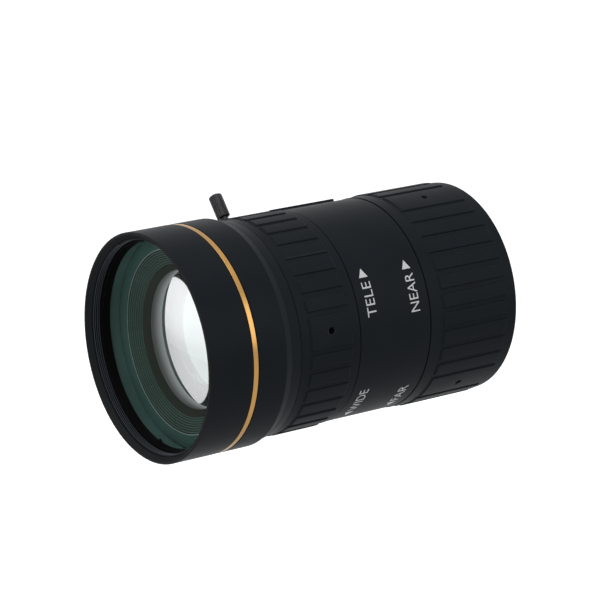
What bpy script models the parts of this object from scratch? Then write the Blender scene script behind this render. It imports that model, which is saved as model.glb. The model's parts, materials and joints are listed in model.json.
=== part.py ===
"""Varifocal lens with a C-mount, a zoom ring and a focus ring.

Metres. The optical axis lies along Y, the front faces -Y and +Z is up. The origin
is the middle of the camera flange. Every piece is drawn in the lens's own axes,
where z is the distance forward of the flange and an angle is counted from +X
towards +Z, and the empty optical_axis lays them down.
"""
import math

import bmesh
import bpy
from mathutils import Matrix

# Fits
CLEARANCE = 0.0003
PIN_PLAY = 0.0003

# Lengths of the outer barrel, from the camera flange forwards
REAR_SETBACK = 0.0038
FOCUS_RING_LENGTH = 0.0393
INDEX_BARREL_LENGTH = 0.0308
ZOOM_RING_LENGTH = 0.0251
NECK_LENGTH = 0.0047
SHOULDER_LENGTH = 0.0027
COLLAR_LENGTH = 0.0115
ACCENT_WIDTH = 0.0019
BEZEL_LENGTH = 0.0177

# Radius of the wide front barrel, and how far the rest lies below it
BARREL_RADIUS = 0.04115
ACCENT_SINK = 0.0001
SHOULDER_DROP = 0.00095
NECK_SINK = 0.00185
BAND_SINK = 0.00205
INDEX_SINK = 0.00225
PAD_HEIGHT = 0.0005
PAD_FRONT_SLOPE = 0.00095
PAD_REAR_SLOPE = 0.0007
ZOOM_BAND_FRONT = 0.0034
ZOOM_BAND_REAR = 0.0033
FOCUS_BAND_FRONT = 0.0050
FOCUS_BAND_REAR = 0.00435
EDGE_BREAK = 0.0003
REAR_EDGE_ROUND = 0.0008

# Grip pattern: narrow pads on a fixed pitch, three of them doubled for a tapped hole
PAD_PITCH = math.radians(10.0)
GROOVE_FLOOR = 0.0009
GROOVE_MOUTH = 0.0017
GROOVE_DEPTH = 0.00045
HOLES_PER_RING = 3
HOLE_RADIUS = 0.0013
HOLE_SETBACK = 0.0002
ZOOM_HOLE_ANGLE = math.radians(10.4)
FOCUS_HOLE_ANGLE = math.radians(78.4)

# Front bezel with its filter thread, and the glass behind it
LIP_DEPTH = 0.0020
LIP_WALL = 0.00225
LIP_FLAT = 0.0006
LIP_EDGE = 0.0004
FILTER_WALL = 0.00285
FILTER_ZONE = 0.0032
BEZEL_WALL = 0.00145
SPIGOT_WALL = 0.0012
RETAINER_LENGTH = 0.0032
RETAINER_FRONT_WALL = 0.0005
RETAINER_REAR_WALL = 0.0010
RETAINER_NOTCH = 0.0016
FRONT_GLASS_EDGE = 0.0042
FRONT_GLASS_CURVE = 0.1650
FRONT_GLASS_REAR_CURVE = 0.3000
FRONT_GLASS_REAR_LAND = 0.0022
SPACER_LENGTH = 0.0110
SPACER_WALL = 0.0030
FUNNEL_DEPTH = 0.0040
FUNNEL_LIP = 0.0013
FUNNEL_LIP_THICKNESS = 0.0006
FUNNEL_STEPS = 4
SECOND_GLASS_SHARE = 0.857
SECOND_GLASS_EDGE = 0.0062
SECOND_GLASS_FRONT_CURVE = 0.0700
SECOND_GLASS_REAR_CURVE = 0.1400
GLASS_LAND = 0.0022
SHELF_THICKNESS = 0.0017
SHELF_OVERLAP = 0.0030

# Main tube, which the rings turn on and the lens groups slide in
RING_WALL = 0.0041
TUBE_WALL = 0.0035

# Travel: ring turn each way from the middle, and slide of the group it drives
ZOOM_TURN = math.radians(35.0)
ZOOM_TRAVEL = 0.0060
FOCUS_TURN = math.radians(40.0)
FOCUS_TRAVEL = 0.0040

# Drive pins, three to a group
PINS_PER_GROUP = 3
PIN_RADIUS = 0.0015
PIN_ENGAGEMENT = 0.0020
PIN_SEAT_DEPTH = 0.0028
ZOOM_PIN_OFFSET = math.radians(60.0)
FOCUS_PIN_OFFSET = math.radians(60.0)

# Lens groups: a cell, two elements and two retainers each. A share is of the cell's
# radius, and a curve's share is of the element's radius
ZOOM_CELL_LENGTH = 0.0240
ZOOM_GLASS_SHARE = 0.775
ZOOM_GLASS_EDGE = 0.0060
ZOOM_CURVE_SHARE = 3.3
FOCUS_CELL_LENGTH = 0.0200
FOCUS_GLASS_SHARE = 0.647
FOCUS_GLASS_EDGE = 0.0036
FOCUS_CURVE_SHARE = 2.7
CELL_SHOULDER = 0.0050
CELL_SHOULDER_OVERLAP = 0.0028
GROUP_RETAINER_LENGTH = 0.0024
GROUP_RETAINER_WALL = 0.0028

# Iris: two sliding blades, a lever and its drive. A share is of the cell's radius
IRIS_OFFSET = 0.0008
APERTURE_SHARE = 0.288
IRIS_PLATE = 0.0020
IRIS_FRONT_PLATE = 0.0012
IRIS_RIM = 0.0018
IRIS_DEPTH = 0.0042
BLADE_THICKNESS = 0.0004
BLADE_HOLE_SHARE = 0.240
BLADE_WIDTH_SHARE = 0.448
BLADE_MARGIN = 0.0005
BLADE_TAIL_HALF_WIDTH = 0.0030
LEVER_THICKNESS = 0.0010
LEVER_ARM_SHARE = 0.225
LEVER_HALF_WIDTH = 0.0014
LEVER_PIN_RADIUS = 0.0007
LEVER_SHAFT_RADIUS = 0.0012
LEVER_SHAFT_LENGTH = 0.0060
LEVER_PLACE_SHARE = 0.610
LEVER_TURN = math.radians(40.0)
DRIVE_SHARE = 0.192
DRIVE_LENGTH = 0.0105
IRIS_ANGLE = math.radians(140.0)
PORT_SIDE = 0.0080
PORT_OFFSET = -0.0043

# Cover over the iris wiring port, on the far side of the index barrel
COVER_RISE = 0.00115
COVER_LENGTH = 0.0284
COVER_HALF_ANGLE = math.radians(23.0)
COVER_TRIM = 0.0022
GROMMET_RADIUS = 0.0030
GROMMET_BORE = 0.0014
GROMMET_HEIGHT = 0.0026

# Rear cover and camera mount
REAR_RECESS_WALL = 0.0021
REAR_FLANGE_THICKNESS = 0.0027
REAR_STEP = 0.0027
REAR_SLOPE = 0.0040
REAR_FACE_SINK = 0.0012
MOUNT_FLANGE_RADIUS = 0.0155
MOUNT_FLANGE_THICKNESS = 0.0030
MOUNT_RADIUS = 0.0127
MOUNT_LENGTH = 0.0039
MOUNT_BORE = 0.0105
REAR_GLASS_MARGIN = 0.0005
REAR_GLASS_EDGE = 0.0030
REAR_GLASS_CURVE = 0.0300
REAR_SEAT = 0.0010
REAR_BARREL_LENGTH = 0.0065
REAR_BARREL_WALL = 0.0016
REAR_RETAINER_LENGTH = 0.0016

# Lock screws
SCREW_HEAD_RADIUS = 0.0025
SCREW_HEAD_LENGTH = 0.0096
SCREW_CROWN = 0.0006
SCREW_COLLAR_RADIUS = 0.0015
SCREW_COLLAR_LENGTH = 0.0037
SCREW_SHANK_RADIUS = 0.0010
SCREW_TEETH = 20
SCREW_TOOTH_DEPTH = 0.00025

# Facets
BARREL_STEPS = 40
INNER_STEPS = 24
HELIX_STEPS = 8
SMALL_STEPS = 12

# The grip rings have one facet to a pad, so their grooves lie along the edges
RING_STEPS = round(math.tau / PAD_PITCH)

# Stations along the axis, forward of the flange
FOCUS_REAR = REAR_SETBACK
FOCUS_FRONT = FOCUS_REAR + FOCUS_RING_LENGTH
INDEX_REAR = FOCUS_FRONT + CLEARANCE
INDEX_FRONT = INDEX_REAR + INDEX_BARREL_LENGTH
ZOOM_REAR = INDEX_FRONT + CLEARANCE
ZOOM_FRONT = ZOOM_REAR + ZOOM_RING_LENGTH
NECK_REAR = ZOOM_FRONT + CLEARANCE
NECK_FRONT = NECK_REAR + NECK_LENGTH
COLLAR_REAR = NECK_FRONT + SHOULDER_LENGTH
COLLAR_FRONT = COLLAR_REAR + COLLAR_LENGTH
ACCENT_REAR = COLLAR_FRONT + CLEARANCE
ACCENT_FRONT = ACCENT_REAR + ACCENT_WIDTH
BEZEL_REAR = ACCENT_FRONT + CLEARANCE
LENS_FRONT = BEZEL_REAR + BEZEL_LENGTH
ZOOM_MIDDLE = (ZOOM_REAR + ZOOM_FRONT) / 2
FOCUS_MIDDLE = (FOCUS_REAR + FOCUS_FRONT) / 2
INDEX_MIDDLE = (INDEX_REAR + INDEX_FRONT) / 2
IRIS_PLACE = INDEX_MIDDLE + IRIS_OFFSET
PORT_PLACE = INDEX_MIDDLE + PORT_OFFSET

# Radii that follow the barrel's
BAND_RADIUS = BARREL_RADIUS - BAND_SINK
INDEX_RADIUS = BARREL_RADIUS - INDEX_SINK
LIP_RADIUS = BARREL_RADIUS - LIP_WALL
FILTER_BORE = BARREL_RADIUS - FILTER_WALL
SPIGOT_RADIUS = BARREL_RADIUS - BEZEL_WALL
TUBE_RADIUS = BAND_RADIUS - RING_WALL
TUBE_BORE = TUBE_RADIUS - TUBE_WALL
CELL_RADIUS = TUBE_BORE - CLEARANCE
SECOND_GLASS_RADIUS = TUBE_BORE * SECOND_GLASS_SHARE
ZOOM_GLASS_RADIUS = CELL_RADIUS * ZOOM_GLASS_SHARE
ZOOM_GLASS_CURVE = ZOOM_GLASS_RADIUS * ZOOM_CURVE_SHARE
FOCUS_GLASS_RADIUS = CELL_RADIUS * FOCUS_GLASS_SHARE
FOCUS_GLASS_CURVE = FOCUS_GLASS_RADIUS * FOCUS_CURVE_SHARE
IRIS_APERTURE = CELL_RADIUS * APERTURE_SHARE
BLADE_HOLE = CELL_RADIUS * BLADE_HOLE_SHARE
BLADE_HALF_WIDTH = CELL_RADIUS * BLADE_WIDTH_SHARE
LEVER_ARM = CELL_RADIUS * LEVER_ARM_SHARE
LEVER_PLACE = CELL_RADIUS * LEVER_PLACE_SHARE
DRIVE_RADIUS = CELL_RADIUS * DRIVE_SHARE
REAR_FLANGE_RADIUS = BAND_RADIUS - REAR_RECESS_WALL - CLEARANCE
REAR_STEP_RADIUS = REAR_FLANGE_RADIUS - REAR_STEP
REAR_FACE_RADIUS = REAR_STEP_RADIUS - REAR_SLOPE
REAR_GLASS_RADIUS = MOUNT_BORE + REAR_GLASS_MARGIN

# Shared seats
RING_BORE = TUBE_RADIUS + CLEARANCE
FILTER_END = LENS_FRONT - LIP_DEPTH - FILTER_ZONE
SPIGOT_FRONT = FILTER_END - CLEARANCE
SPIGOT_BORE = SPIGOT_RADIUS - SPIGOT_WALL
FRONT_GLASS_RADIUS = SPIGOT_BORE - CLEARANCE
RETAINER_REAR = SPIGOT_FRONT - RETAINER_LENGTH
FRONT_LAND = RETAINER_REAR - CLEARANCE
FRONT_GLASS_BACK = FRONT_LAND - FRONT_GLASS_EDGE
SPACER_FRONT = FRONT_GLASS_BACK - CLEARANCE
SPACER_REAR = SPACER_FRONT - SPACER_LENGTH
SECOND_FRONT = SPACER_REAR - CLEARANCE
SECOND_BORE = SECOND_GLASS_RADIUS + CLEARANCE
SECOND_BACK = SECOND_FRONT - SECOND_GLASS_EDGE
SHELF_FRONT = SECOND_BACK - CLEARANCE
SHELF_REAR = SHELF_FRONT - SHELF_THICKNESS
TUBE_FRONT = SHELF_REAR - CLEARANCE
TUBE_REAR = FOCUS_REAR + REAR_FLANGE_THICKNESS + 2 * CLEARANCE
PIN_TIP = RING_BORE + PIN_ENGAGEMENT
PIN_SLOT_HALF = PIN_RADIUS + PIN_PLAY

COLLECTION_NAME = "varifocal_lens"
pieces = bpy.data.collections.new(COLLECTION_NAME)
cutters = bpy.data.collections.new("cutters")


def start_scene():
    for item in list(bpy.data.objects):
        bpy.data.objects.remove(item)
    bpy.context.scene.collection.children.link(pieces)
    bpy.context.scene.collection.children.link(cutters)
    axis = bpy.data.objects.new("optical_axis", None)
    axis.rotation_euler = (math.radians(90.0), 0.0, 0.0)
    pieces.objects.link(axis)
    return axis


def finish_material(name, colour, roughness, metallic, glass=0.0):
    material = bpy.data.materials.new(name)
    material.use_nodes = True
    shader = material.node_tree.nodes["Principled BSDF"]
    shader.inputs["Base Color"].default_value = (*colour, 1.0)
    shader.inputs["Roughness"].default_value = roughness
    shader.inputs["Metallic"].default_value = metallic
    shader.inputs["Transmission Weight"].default_value = glass
    material.diffuse_color = (*colour, 1.0)
    return material


def new_piece(name, mesh, material, parent):
    piece = bpy.data.objects.new(name, mesh)
    mesh.materials.append(material)
    piece.parent = parent
    pieces.objects.link(piece)
    return piece


def as_cutter(name, mesh, parent):
    cutter = bpy.data.objects.new(name, mesh)
    cutter.parent = parent
    cutter.hide_render = True
    cutter.display_type = "WIRE"
    cutters.objects.link(cutter)
    return cutter


def cut(piece, cutter, operation="DIFFERENCE"):
    boolean = piece.modifiers.new(cutter.name, "BOOLEAN")
    boolean.operation = operation
    boolean.solver = "EXACT"
    boolean.object = cutter


def profile_mesh(name, points, closed):
    """A profile in the XZ plane, running down its outer side."""
    shape = bmesh.new()
    verts = [shape.verts.new((radius, 0.0, height)) for radius, height in points]
    for first, second in zip(verts, verts[1:]):
        shape.edges.new((first, second))
    if closed:
        shape.edges.new((verts[-1], verts[0]))
    mesh = bpy.data.meshes.new(name)
    shape.to_mesh(mesh)
    shape.free()
    return mesh


def spin(piece, steps):
    screw = piece.modifiers.new("turn", "SCREW")
    screw.axis = "Z"
    screw.angle = math.tau
    screw.steps = steps
    screw.render_steps = steps
    screw.use_merge_vertices = True
    screw.merge_threshold = 0.00001
    screw.use_smooth_shade = True


def turned(name, points, steps, material, parent, closed=True):
    piece = new_piece(name, profile_mesh(name, points, closed), material, parent)
    spin(piece, steps)
    return piece


def tube_points(outer, inner, front, rear):
    return [(outer, front), (outer, rear), (inner, rear), (inner, front)]


def radial(angle, place):
    """Turns a shape drawn along +Z to point outwards at an angle, at a station."""
    return Matrix.Translation((0.0, 0.0, place)) @ Matrix.Rotation(angle, 4, "Z") @ Matrix.Rotation(
        math.radians(90.0), 4, "Y"
    )


def rods(name, frames, radius, low, high, steps=SMALL_STEPS):
    """Round bars from low to high along +Z of each frame, in one mesh."""
    shape = bmesh.new()
    for frame in frames:
        middle = frame @ Matrix.Translation((0.0, 0.0, (low + high) / 2))
        bmesh.ops.create_cone(
            shape,
            cap_ends=True,
            segments=steps,
            radius1=radius,
            radius2=radius,
            depth=high - low,
            matrix=middle,
        )
    mesh = bpy.data.meshes.new(name)
    shape.to_mesh(mesh)
    shape.free()
    return mesh


def blocks(name, frames, size, middle):
    """Boxes of a size around a middle point in each frame, in one mesh."""
    shape = bmesh.new()
    for frame in frames:
        place = frame @ Matrix.Translation(middle) @ Matrix.Diagonal((*size, 1.0))
        bmesh.ops.create_cube(shape, size=1.0, matrix=place)
    mesh = bpy.data.meshes.new(name)
    shape.to_mesh(mesh)
    shape.free()
    return mesh


def prism(name, outline, low, high):
    """A flat outline, counter-clockwise seen from +Z, raised from low to high."""
    shape = bmesh.new()
    verts = [shape.verts.new((x, y, low)) for x, y in outline]
    base = shape.faces.new(verts)
    raised = bmesh.ops.extrude_face_region(shape, geom=[base])
    moved = [item for item in raised["geom"] if isinstance(item, bmesh.types.BMVert)]
    bmesh.ops.translate(shape, verts=moved, vec=(0.0, 0.0, high - low))
    bmesh.ops.recalc_face_normals(shape, faces=shape.faces)
    mesh = bpy.data.meshes.new(name)
    shape.to_mesh(mesh)
    shape.free()
    return mesh


def sphere_drop(curve, radius):
    """How far a surface of this radius of curvature falls away at a radius."""
    return curve - math.sqrt(curve * curve - radius * radius)


def lens_points(radius, front, rear, front_curve, rear_curve, land, rear_land=None, count=2):
    """Profile of an element: a curve is convex above zero and hollow below it."""
    rear_land = land if rear_land is None else rear_land
    front_rim = radius - land
    rear_rim = radius - rear_land
    front_sign = math.copysign(1.0, front_curve)
    rear_sign = math.copysign(1.0, rear_curve)
    front_size = abs(front_curve)
    rear_size = abs(rear_curve)
    points = []
    for index in range(count + 1):
        at = front_rim * index / count
        rise = sphere_drop(front_size, front_rim) - sphere_drop(front_size, at)
        points.append((at, front + front_sign * rise))
    points.append((radius, front))
    points.append((radius, rear))
    for index in range(count, -1, -1):
        at = rear_rim * index / count
        rise = sphere_drop(rear_size, rear_rim) - sphere_drop(rear_size, at)
        points.append((at, rear - rear_sign * rise))
    return points


def ring_angles(first):
    return [first + math.tau * index / HOLES_PER_RING for index in range(HOLES_PER_RING)]


def groove_angles(hole_angle):
    """Grooves on the pad pitch, left out where a doubled pad carries a hole."""
    per_hole = RING_STEPS // HOLES_PER_RING
    pitch = math.tau / RING_STEPS
    return [hole_angle + pitch * index for index in range(RING_STEPS) if index % per_hole]


def grooves(name, hole_angle, rear, front, parent):
    """Trapezoid channels between the pads, open at both ends of the pads."""
    top = BAND_RADIUS + PAD_HEIGHT
    floor = top - GROOVE_DEPTH
    roof = top + GROOVE_DEPTH
    mouth = GROOVE_MOUTH + (GROOVE_MOUTH - GROOVE_FLOOR)
    shape = bmesh.new()
    for angle in groove_angles(hole_angle):
        place = Matrix.Rotation(angle, 4, "Z") @ Matrix.Translation(
            ((floor + roof) / 2, 0.0, (rear + front) / 2)
        )
        made = bmesh.ops.create_cube(shape, size=1.0)
        for vert in made["verts"]:
            width = mouth if vert.co.x > 0 else GROOVE_FLOOR
            vert.co.x *= roof - floor
            vert.co.y *= width
            vert.co.z *= front - rear
            vert.co = place @ vert.co
    mesh = bpy.data.meshes.new(name)
    shape.to_mesh(mesh)
    shape.free()
    return as_cutter(name, mesh, parent)


def helix_channels(name, angles, middle, turn, travel, parent):
    """Blind channels in a ring's bore that push the drive pins along the axis."""
    inner = RING_BORE - TUBE_WALL / 2
    outer = PIN_TIP + CLEARANCE
    rate = travel / turn
    lean = math.atan2(rate, PIN_TIP)
    half = PIN_SLOT_HALF / math.cos(lean)
    reach = turn + PIN_SLOT_HALF / (RING_BORE * math.cos(lean))
    shape = bmesh.new()
    for centre in angles:
        loops = []
        for index in range(HELIX_STEPS + 1):
            offset = reach * (2.0 * index / HELIX_STEPS - 1.0)
            place = middle - rate * offset
            spoke = (math.cos(centre + offset), math.sin(centre + offset))
            corners = ((inner, -half), (outer, -half), (outer, half), (inner, half))
            loops.append([shape.verts.new((r * spoke[0], r * spoke[1], place + h)) for r, h in corners])
        for first, second in zip(loops, loops[1:]):
            for index in range(4):
                follow = (index + 1) % 4
                shape.faces.new((first[index], first[follow], second[follow], second[index]))
        shape.faces.new(loops[0][::-1])
        shape.faces.new(loops[-1])
    bmesh.ops.recalc_face_normals(shape, faces=shape.faces)
    mesh = bpy.data.meshes.new(name)
    shape.to_mesh(mesh)
    shape.free()
    return as_cutter(name, mesh, parent)


def grip_outline(rear, front, band_rear, band_front):
    """Outer side of a ring, front to rear: band, raised pads, band."""
    pad = BAND_RADIUS + PAD_HEIGHT
    pad_front = front - band_front
    pad_rear = rear + band_rear
    return [
        (BAND_RADIUS - EDGE_BREAK, front),
        (BAND_RADIUS, front - EDGE_BREAK),
        (BAND_RADIUS, pad_front),
        (pad, pad_front - PAD_FRONT_SLOPE),
        (pad, pad_rear + PAD_REAR_SLOPE),
        (BAND_RADIUS, pad_rear),
    ]


def hole_place(rear, front, band_rear, band_front):
    """Where a ring's tapped holes stand, a little behind the middle of its pads."""
    return (rear + band_rear + front - band_front) / 2 - HOLE_SETBACK


def cut_grip(ring, label, axis, hole_angle, rear, front, band_rear, band_front):
    place = hole_place(rear, front, band_rear, band_front)
    slope_rear = rear + band_rear + PAD_REAR_SLOPE / 2
    slope_front = front - band_front - PAD_FRONT_SLOPE / 2
    cut(ring, grooves(label + "_grooves", hole_angle, slope_rear, slope_front, axis))
    frames = [radial(angle, place) for angle in ring_angles(hole_angle)]
    low = RING_BORE - TUBE_WALL / 2
    high = BAND_RADIUS + 3 * PAD_HEIGHT
    hole_name = label + "_tapped_holes"
    holes = rods(hole_name, frames, HOLE_RADIUS, low, high)
    cut(ring, as_cutter(hole_name, holes, axis))


def make_zoom_ring(axis, material):
    points = grip_outline(ZOOM_REAR, ZOOM_FRONT, ZOOM_BAND_REAR, ZOOM_BAND_FRONT)
    points += [
        (BAND_RADIUS, ZOOM_REAR + EDGE_BREAK),
        (BAND_RADIUS - EDGE_BREAK, ZOOM_REAR),
        (RING_BORE, ZOOM_REAR),
        (RING_BORE, ZOOM_FRONT),
    ]
    ring = turned("zoom_ring", points, RING_STEPS, material, axis)
    ring.rotation_euler = (0.0, 0.0, ZOOM_HOLE_ANGLE)
    bands = (ZOOM_BAND_REAR, ZOOM_BAND_FRONT)
    cut_grip(ring, "zoom", axis, ZOOM_HOLE_ANGLE, ZOOM_REAR, ZOOM_FRONT, *bands)
    angles = ring_angles(ZOOM_HOLE_ANGLE + ZOOM_PIN_OFFSET)
    cut(ring, helix_channels("zoom_channels", angles, ZOOM_MIDDLE, ZOOM_TURN, ZOOM_TRAVEL, axis))


def make_focus_ring(axis, material):
    recess = REAR_FLANGE_RADIUS + CLEARANCE
    recess_front = FOCUS_REAR + REAR_FLANGE_THICKNESS + 2 * CLEARANCE
    points = grip_outline(FOCUS_REAR, FOCUS_FRONT, FOCUS_BAND_REAR, FOCUS_BAND_FRONT)
    for index in range(3):
        turn = math.radians(90.0) * index / 2
        out = BAND_RADIUS - REAR_EDGE_ROUND * (1.0 - math.cos(turn))
        points.append((out, FOCUS_REAR + REAR_EDGE_ROUND * (1.0 - math.sin(turn))))
    points += [
        (recess, FOCUS_REAR),
        (recess, recess_front),
        (RING_BORE, recess_front),
        (RING_BORE, FOCUS_FRONT),
    ]
    ring = turned("focus_ring", points, RING_STEPS, material, axis)
    ring.rotation_euler = (0.0, 0.0, FOCUS_HOLE_ANGLE)
    bands = (FOCUS_BAND_REAR, FOCUS_BAND_FRONT)
    cut_grip(ring, "focus", axis, FOCUS_HOLE_ANGLE, FOCUS_REAR, FOCUS_FRONT, *bands)
    angles = ring_angles(FOCUS_HOLE_ANGLE + FOCUS_PIN_OFFSET)
    channels = helix_channels(
        "focus_channels", angles, FOCUS_MIDDLE, FOCUS_TURN, FOCUS_TRAVEL, axis
    )
    cut(ring, channels)


def make_front_bezel(axis, material):
    sleeve = SPIGOT_RADIUS + CLEARANCE
    lip = BARREL_RADIUS - LIP_EDGE
    points = [
        (lip - LIP_FLAT, LENS_FRONT),
        (lip, LENS_FRONT),
        (BARREL_RADIUS, LENS_FRONT - LIP_EDGE),
        (BARREL_RADIUS, BEZEL_REAR),
        (sleeve, BEZEL_REAR),
        (sleeve, FILTER_END),
        (FILTER_BORE, FILTER_END),
        (FILTER_BORE, LENS_FRONT - LIP_DEPTH),
        (LIP_RADIUS, LENS_FRONT - LIP_DEPTH),
    ]
    turned("front_bezel", points, BARREL_STEPS, material, axis)


def make_accent_ring(axis, material):
    outer = BARREL_RADIUS - ACCENT_SINK
    inner = SPIGOT_RADIUS + CLEARANCE
    points = tube_points(outer, inner, ACCENT_FRONT, ACCENT_REAR)
    turned("accent_ring", points, BARREL_STEPS, material, axis)


def make_front_barrel(axis, material):
    points = [
        (SPIGOT_RADIUS, SPIGOT_FRONT),
        (SPIGOT_RADIUS, COLLAR_FRONT),
        (BARREL_RADIUS, COLLAR_FRONT),
        (BARREL_RADIUS, COLLAR_REAR),
        (BARREL_RADIUS - SHOULDER_DROP, NECK_FRONT),
        (BARREL_RADIUS - NECK_SINK, NECK_REAR),
        (RING_BORE, NECK_REAR),
        (RING_BORE, SHELF_REAR),
        (SECOND_BORE - SHELF_OVERLAP, SHELF_REAR),
        (SECOND_BORE - SHELF_OVERLAP, SHELF_FRONT),
        (SECOND_BORE, SHELF_FRONT),
        (SECOND_BORE, SECOND_FRONT),
        (SPIGOT_BORE, SECOND_FRONT),
        (SPIGOT_BORE, SPIGOT_FRONT),
    ]
    turned("front_barrel", points, BARREL_STEPS, material, axis)


def make_front_retainer(axis, material):
    """Threaded ring in front of the glass, with two notches for a ring spanner."""
    outer = FRONT_GLASS_RADIUS
    points = [
        (outer, SPIGOT_FRONT),
        (outer, RETAINER_REAR),
        (outer - RETAINER_REAR_WALL, RETAINER_REAR),
        (outer - RETAINER_FRONT_WALL, SPIGOT_FRONT),
    ]
    ring = turned("front_retaining_ring", points, BARREL_STEPS, material, axis)
    frames = [Matrix.Rotation(angle, 4, "Z") for angle in (math.radians(-70.0), math.radians(110.0))]
    size = (2 * RETAINER_REAR_WALL, RETAINER_NOTCH, RETAINER_LENGTH)
    middle = (outer - RETAINER_REAR_WALL, 0.0, SPIGOT_FRONT)
    notches = blocks("spanner_notches", frames, size, middle)
    cut(ring, as_cutter("spanner_notches", notches, axis))


def make_front_glass(axis, material):
    points = lens_points(
        FRONT_GLASS_RADIUS,
        FRONT_LAND,
        FRONT_GLASS_BACK,
        FRONT_GLASS_CURVE,
        -FRONT_GLASS_REAR_CURVE,
        RETAINER_REAR_WALL,
        FRONT_GLASS_REAR_LAND,
    )
    turned("front_element", points, BARREL_STEPS, material, axis, closed=False)


def make_spacer(axis, material):
    """Ring that parts the two front elements: a stepped funnel that traps stray light."""
    mouth = FRONT_GLASS_RADIUS - SPACER_WALL
    bore = SECOND_GLASS_RADIUS - GLASS_LAND
    throat = bore - FUNNEL_LIP
    floor = SPACER_FRONT - FUNNEL_DEPTH
    points = [
        (FRONT_GLASS_RADIUS, SPACER_FRONT),
        (FRONT_GLASS_RADIUS, SPACER_REAR),
        (bore, SPACER_REAR),
        (bore, floor - FUNNEL_LIP_THICKNESS),
        (throat, floor - FUNNEL_LIP_THICKNESS),
    ]
    tread = FUNNEL_DEPTH / FUNNEL_STEPS
    riser = (mouth - throat) / FUNNEL_STEPS
    for index in range(FUNNEL_STEPS):
        out = throat + riser * index
        points.append((out, floor + tread * (index + 1) - CLEARANCE))
        points.append((out + riser, floor + tread * (index + 1)))
    turned("light_trap_spacer", points, INNER_STEPS, material, axis)


def make_second_glass(axis, material):
    points = lens_points(
        SECOND_GLASS_RADIUS,
        SECOND_FRONT,
        SECOND_BACK,
        SECOND_GLASS_FRONT_CURVE,
        SECOND_GLASS_REAR_CURVE,
        GLASS_LAND,
    )
    turned("second_element", points, BARREL_STEPS, material, axis, closed=False)


def iris_port(name, axis):
    frame = Matrix.Rotation(IRIS_ANGLE, 4, "Z")
    size = (2 * TUBE_WALL + BARREL_RADIUS - TUBE_BORE, PORT_SIDE, PORT_SIDE)
    middle = ((TUBE_BORE + BARREL_RADIUS) / 2, 0.0, PORT_PLACE)
    return as_cutter(name, blocks(name, [frame], size, middle), axis)


def slot_frames(hole_angle, offset):
    first = hole_angle + offset
    return [
        Matrix.Rotation(first + math.tau * index / PINS_PER_GROUP, 4, "Z")
        for index in range(PINS_PER_GROUP)
    ]


def make_main_tube(axis, material):
    points = tube_points(TUBE_RADIUS, TUBE_BORE, TUBE_FRONT, TUBE_REAR)
    tube = turned("main_tube", points, INNER_STEPS, material, axis)
    wall = (TUBE_RADIUS + TUBE_BORE) / 2
    for label, hole, offset, middle, travel in (
        ("zoom_slots", ZOOM_HOLE_ANGLE, ZOOM_PIN_OFFSET, ZOOM_MIDDLE, ZOOM_TRAVEL),
        ("focus_slots", FOCUS_HOLE_ANGLE, FOCUS_PIN_OFFSET, FOCUS_MIDDLE, FOCUS_TRAVEL),
    ):
        size = (3 * TUBE_WALL, 2 * PIN_SLOT_HALF, 2 * (travel + PIN_SLOT_HALF))
        slots = blocks(label, slot_frames(hole, offset), size, (wall, 0.0, middle))
        cut(tube, as_cutter(label, slots, axis))
    cut(tube, iris_port("tube_port", axis))


def make_index_barrel(axis, material):
    points = [
        (INDEX_RADIUS - EDGE_BREAK, INDEX_FRONT),
        (INDEX_RADIUS, INDEX_FRONT - EDGE_BREAK),
        (INDEX_RADIUS, INDEX_REAR + EDGE_BREAK),
        (INDEX_RADIUS - EDGE_BREAK, INDEX_REAR),
        (RING_BORE, INDEX_REAR),
        (RING_BORE, INDEX_FRONT),
    ]
    barrel = turned("index_barrel", points, BARREL_STEPS, material, axis)
    cut(barrel, iris_port("barrel_port", axis))


def make_iris_cover(axis, cover_material, rubber):
    """Curved plate over the wiring port, with a rubber grommet for the lead."""
    inner = INDEX_RADIUS + CLEARANCE
    outer = inner + COVER_RISE
    front = INDEX_FRONT - (INDEX_BARREL_LENGTH - COVER_LENGTH) / 2 + CLEARANCE
    rear = front - COVER_LENGTH
    points = tube_points(outer, inner, front, rear)
    cover = turned("iris_cover", points, BARREL_STEPS, cover_material, axis)
    reach = 2 * BARREL_RADIUS
    outline = [(0.0, 0.0)]
    for side in (-1.0, 0.0, 1.0):
        angle = IRIS_ANGLE + side * COVER_HALF_ANGLE
        outline.append((reach * math.cos(angle), reach * math.sin(angle)))
    wedge = prism("cover_wedge", outline, rear - COVER_TRIM, front + COVER_TRIM)
    cut(cover, as_cutter("cover_wedge", wedge, axis), "INTERSECT")
    frame = radial(IRIS_ANGLE, PORT_PLACE)
    hole = rods("grommet_hole", [frame], GROMMET_RADIUS + CLEARANCE, TUBE_RADIUS, 2 * outer)
    cut(cover, as_cutter("grommet_hole", hole, axis))
    top = inner + GROMMET_HEIGHT
    mesh = rods("lead_grommet", [Matrix.Identity(4)], GROMMET_RADIUS, inner, top)
    grommet = new_piece("lead_grommet", mesh, rubber, axis)
    grommet.matrix_local = frame
    bore = rods("lead_bore", [frame], GROMMET_BORE, TUBE_RADIUS, 2 * outer)
    cut(grommet, as_cutter("lead_bore", bore, axis))


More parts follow.
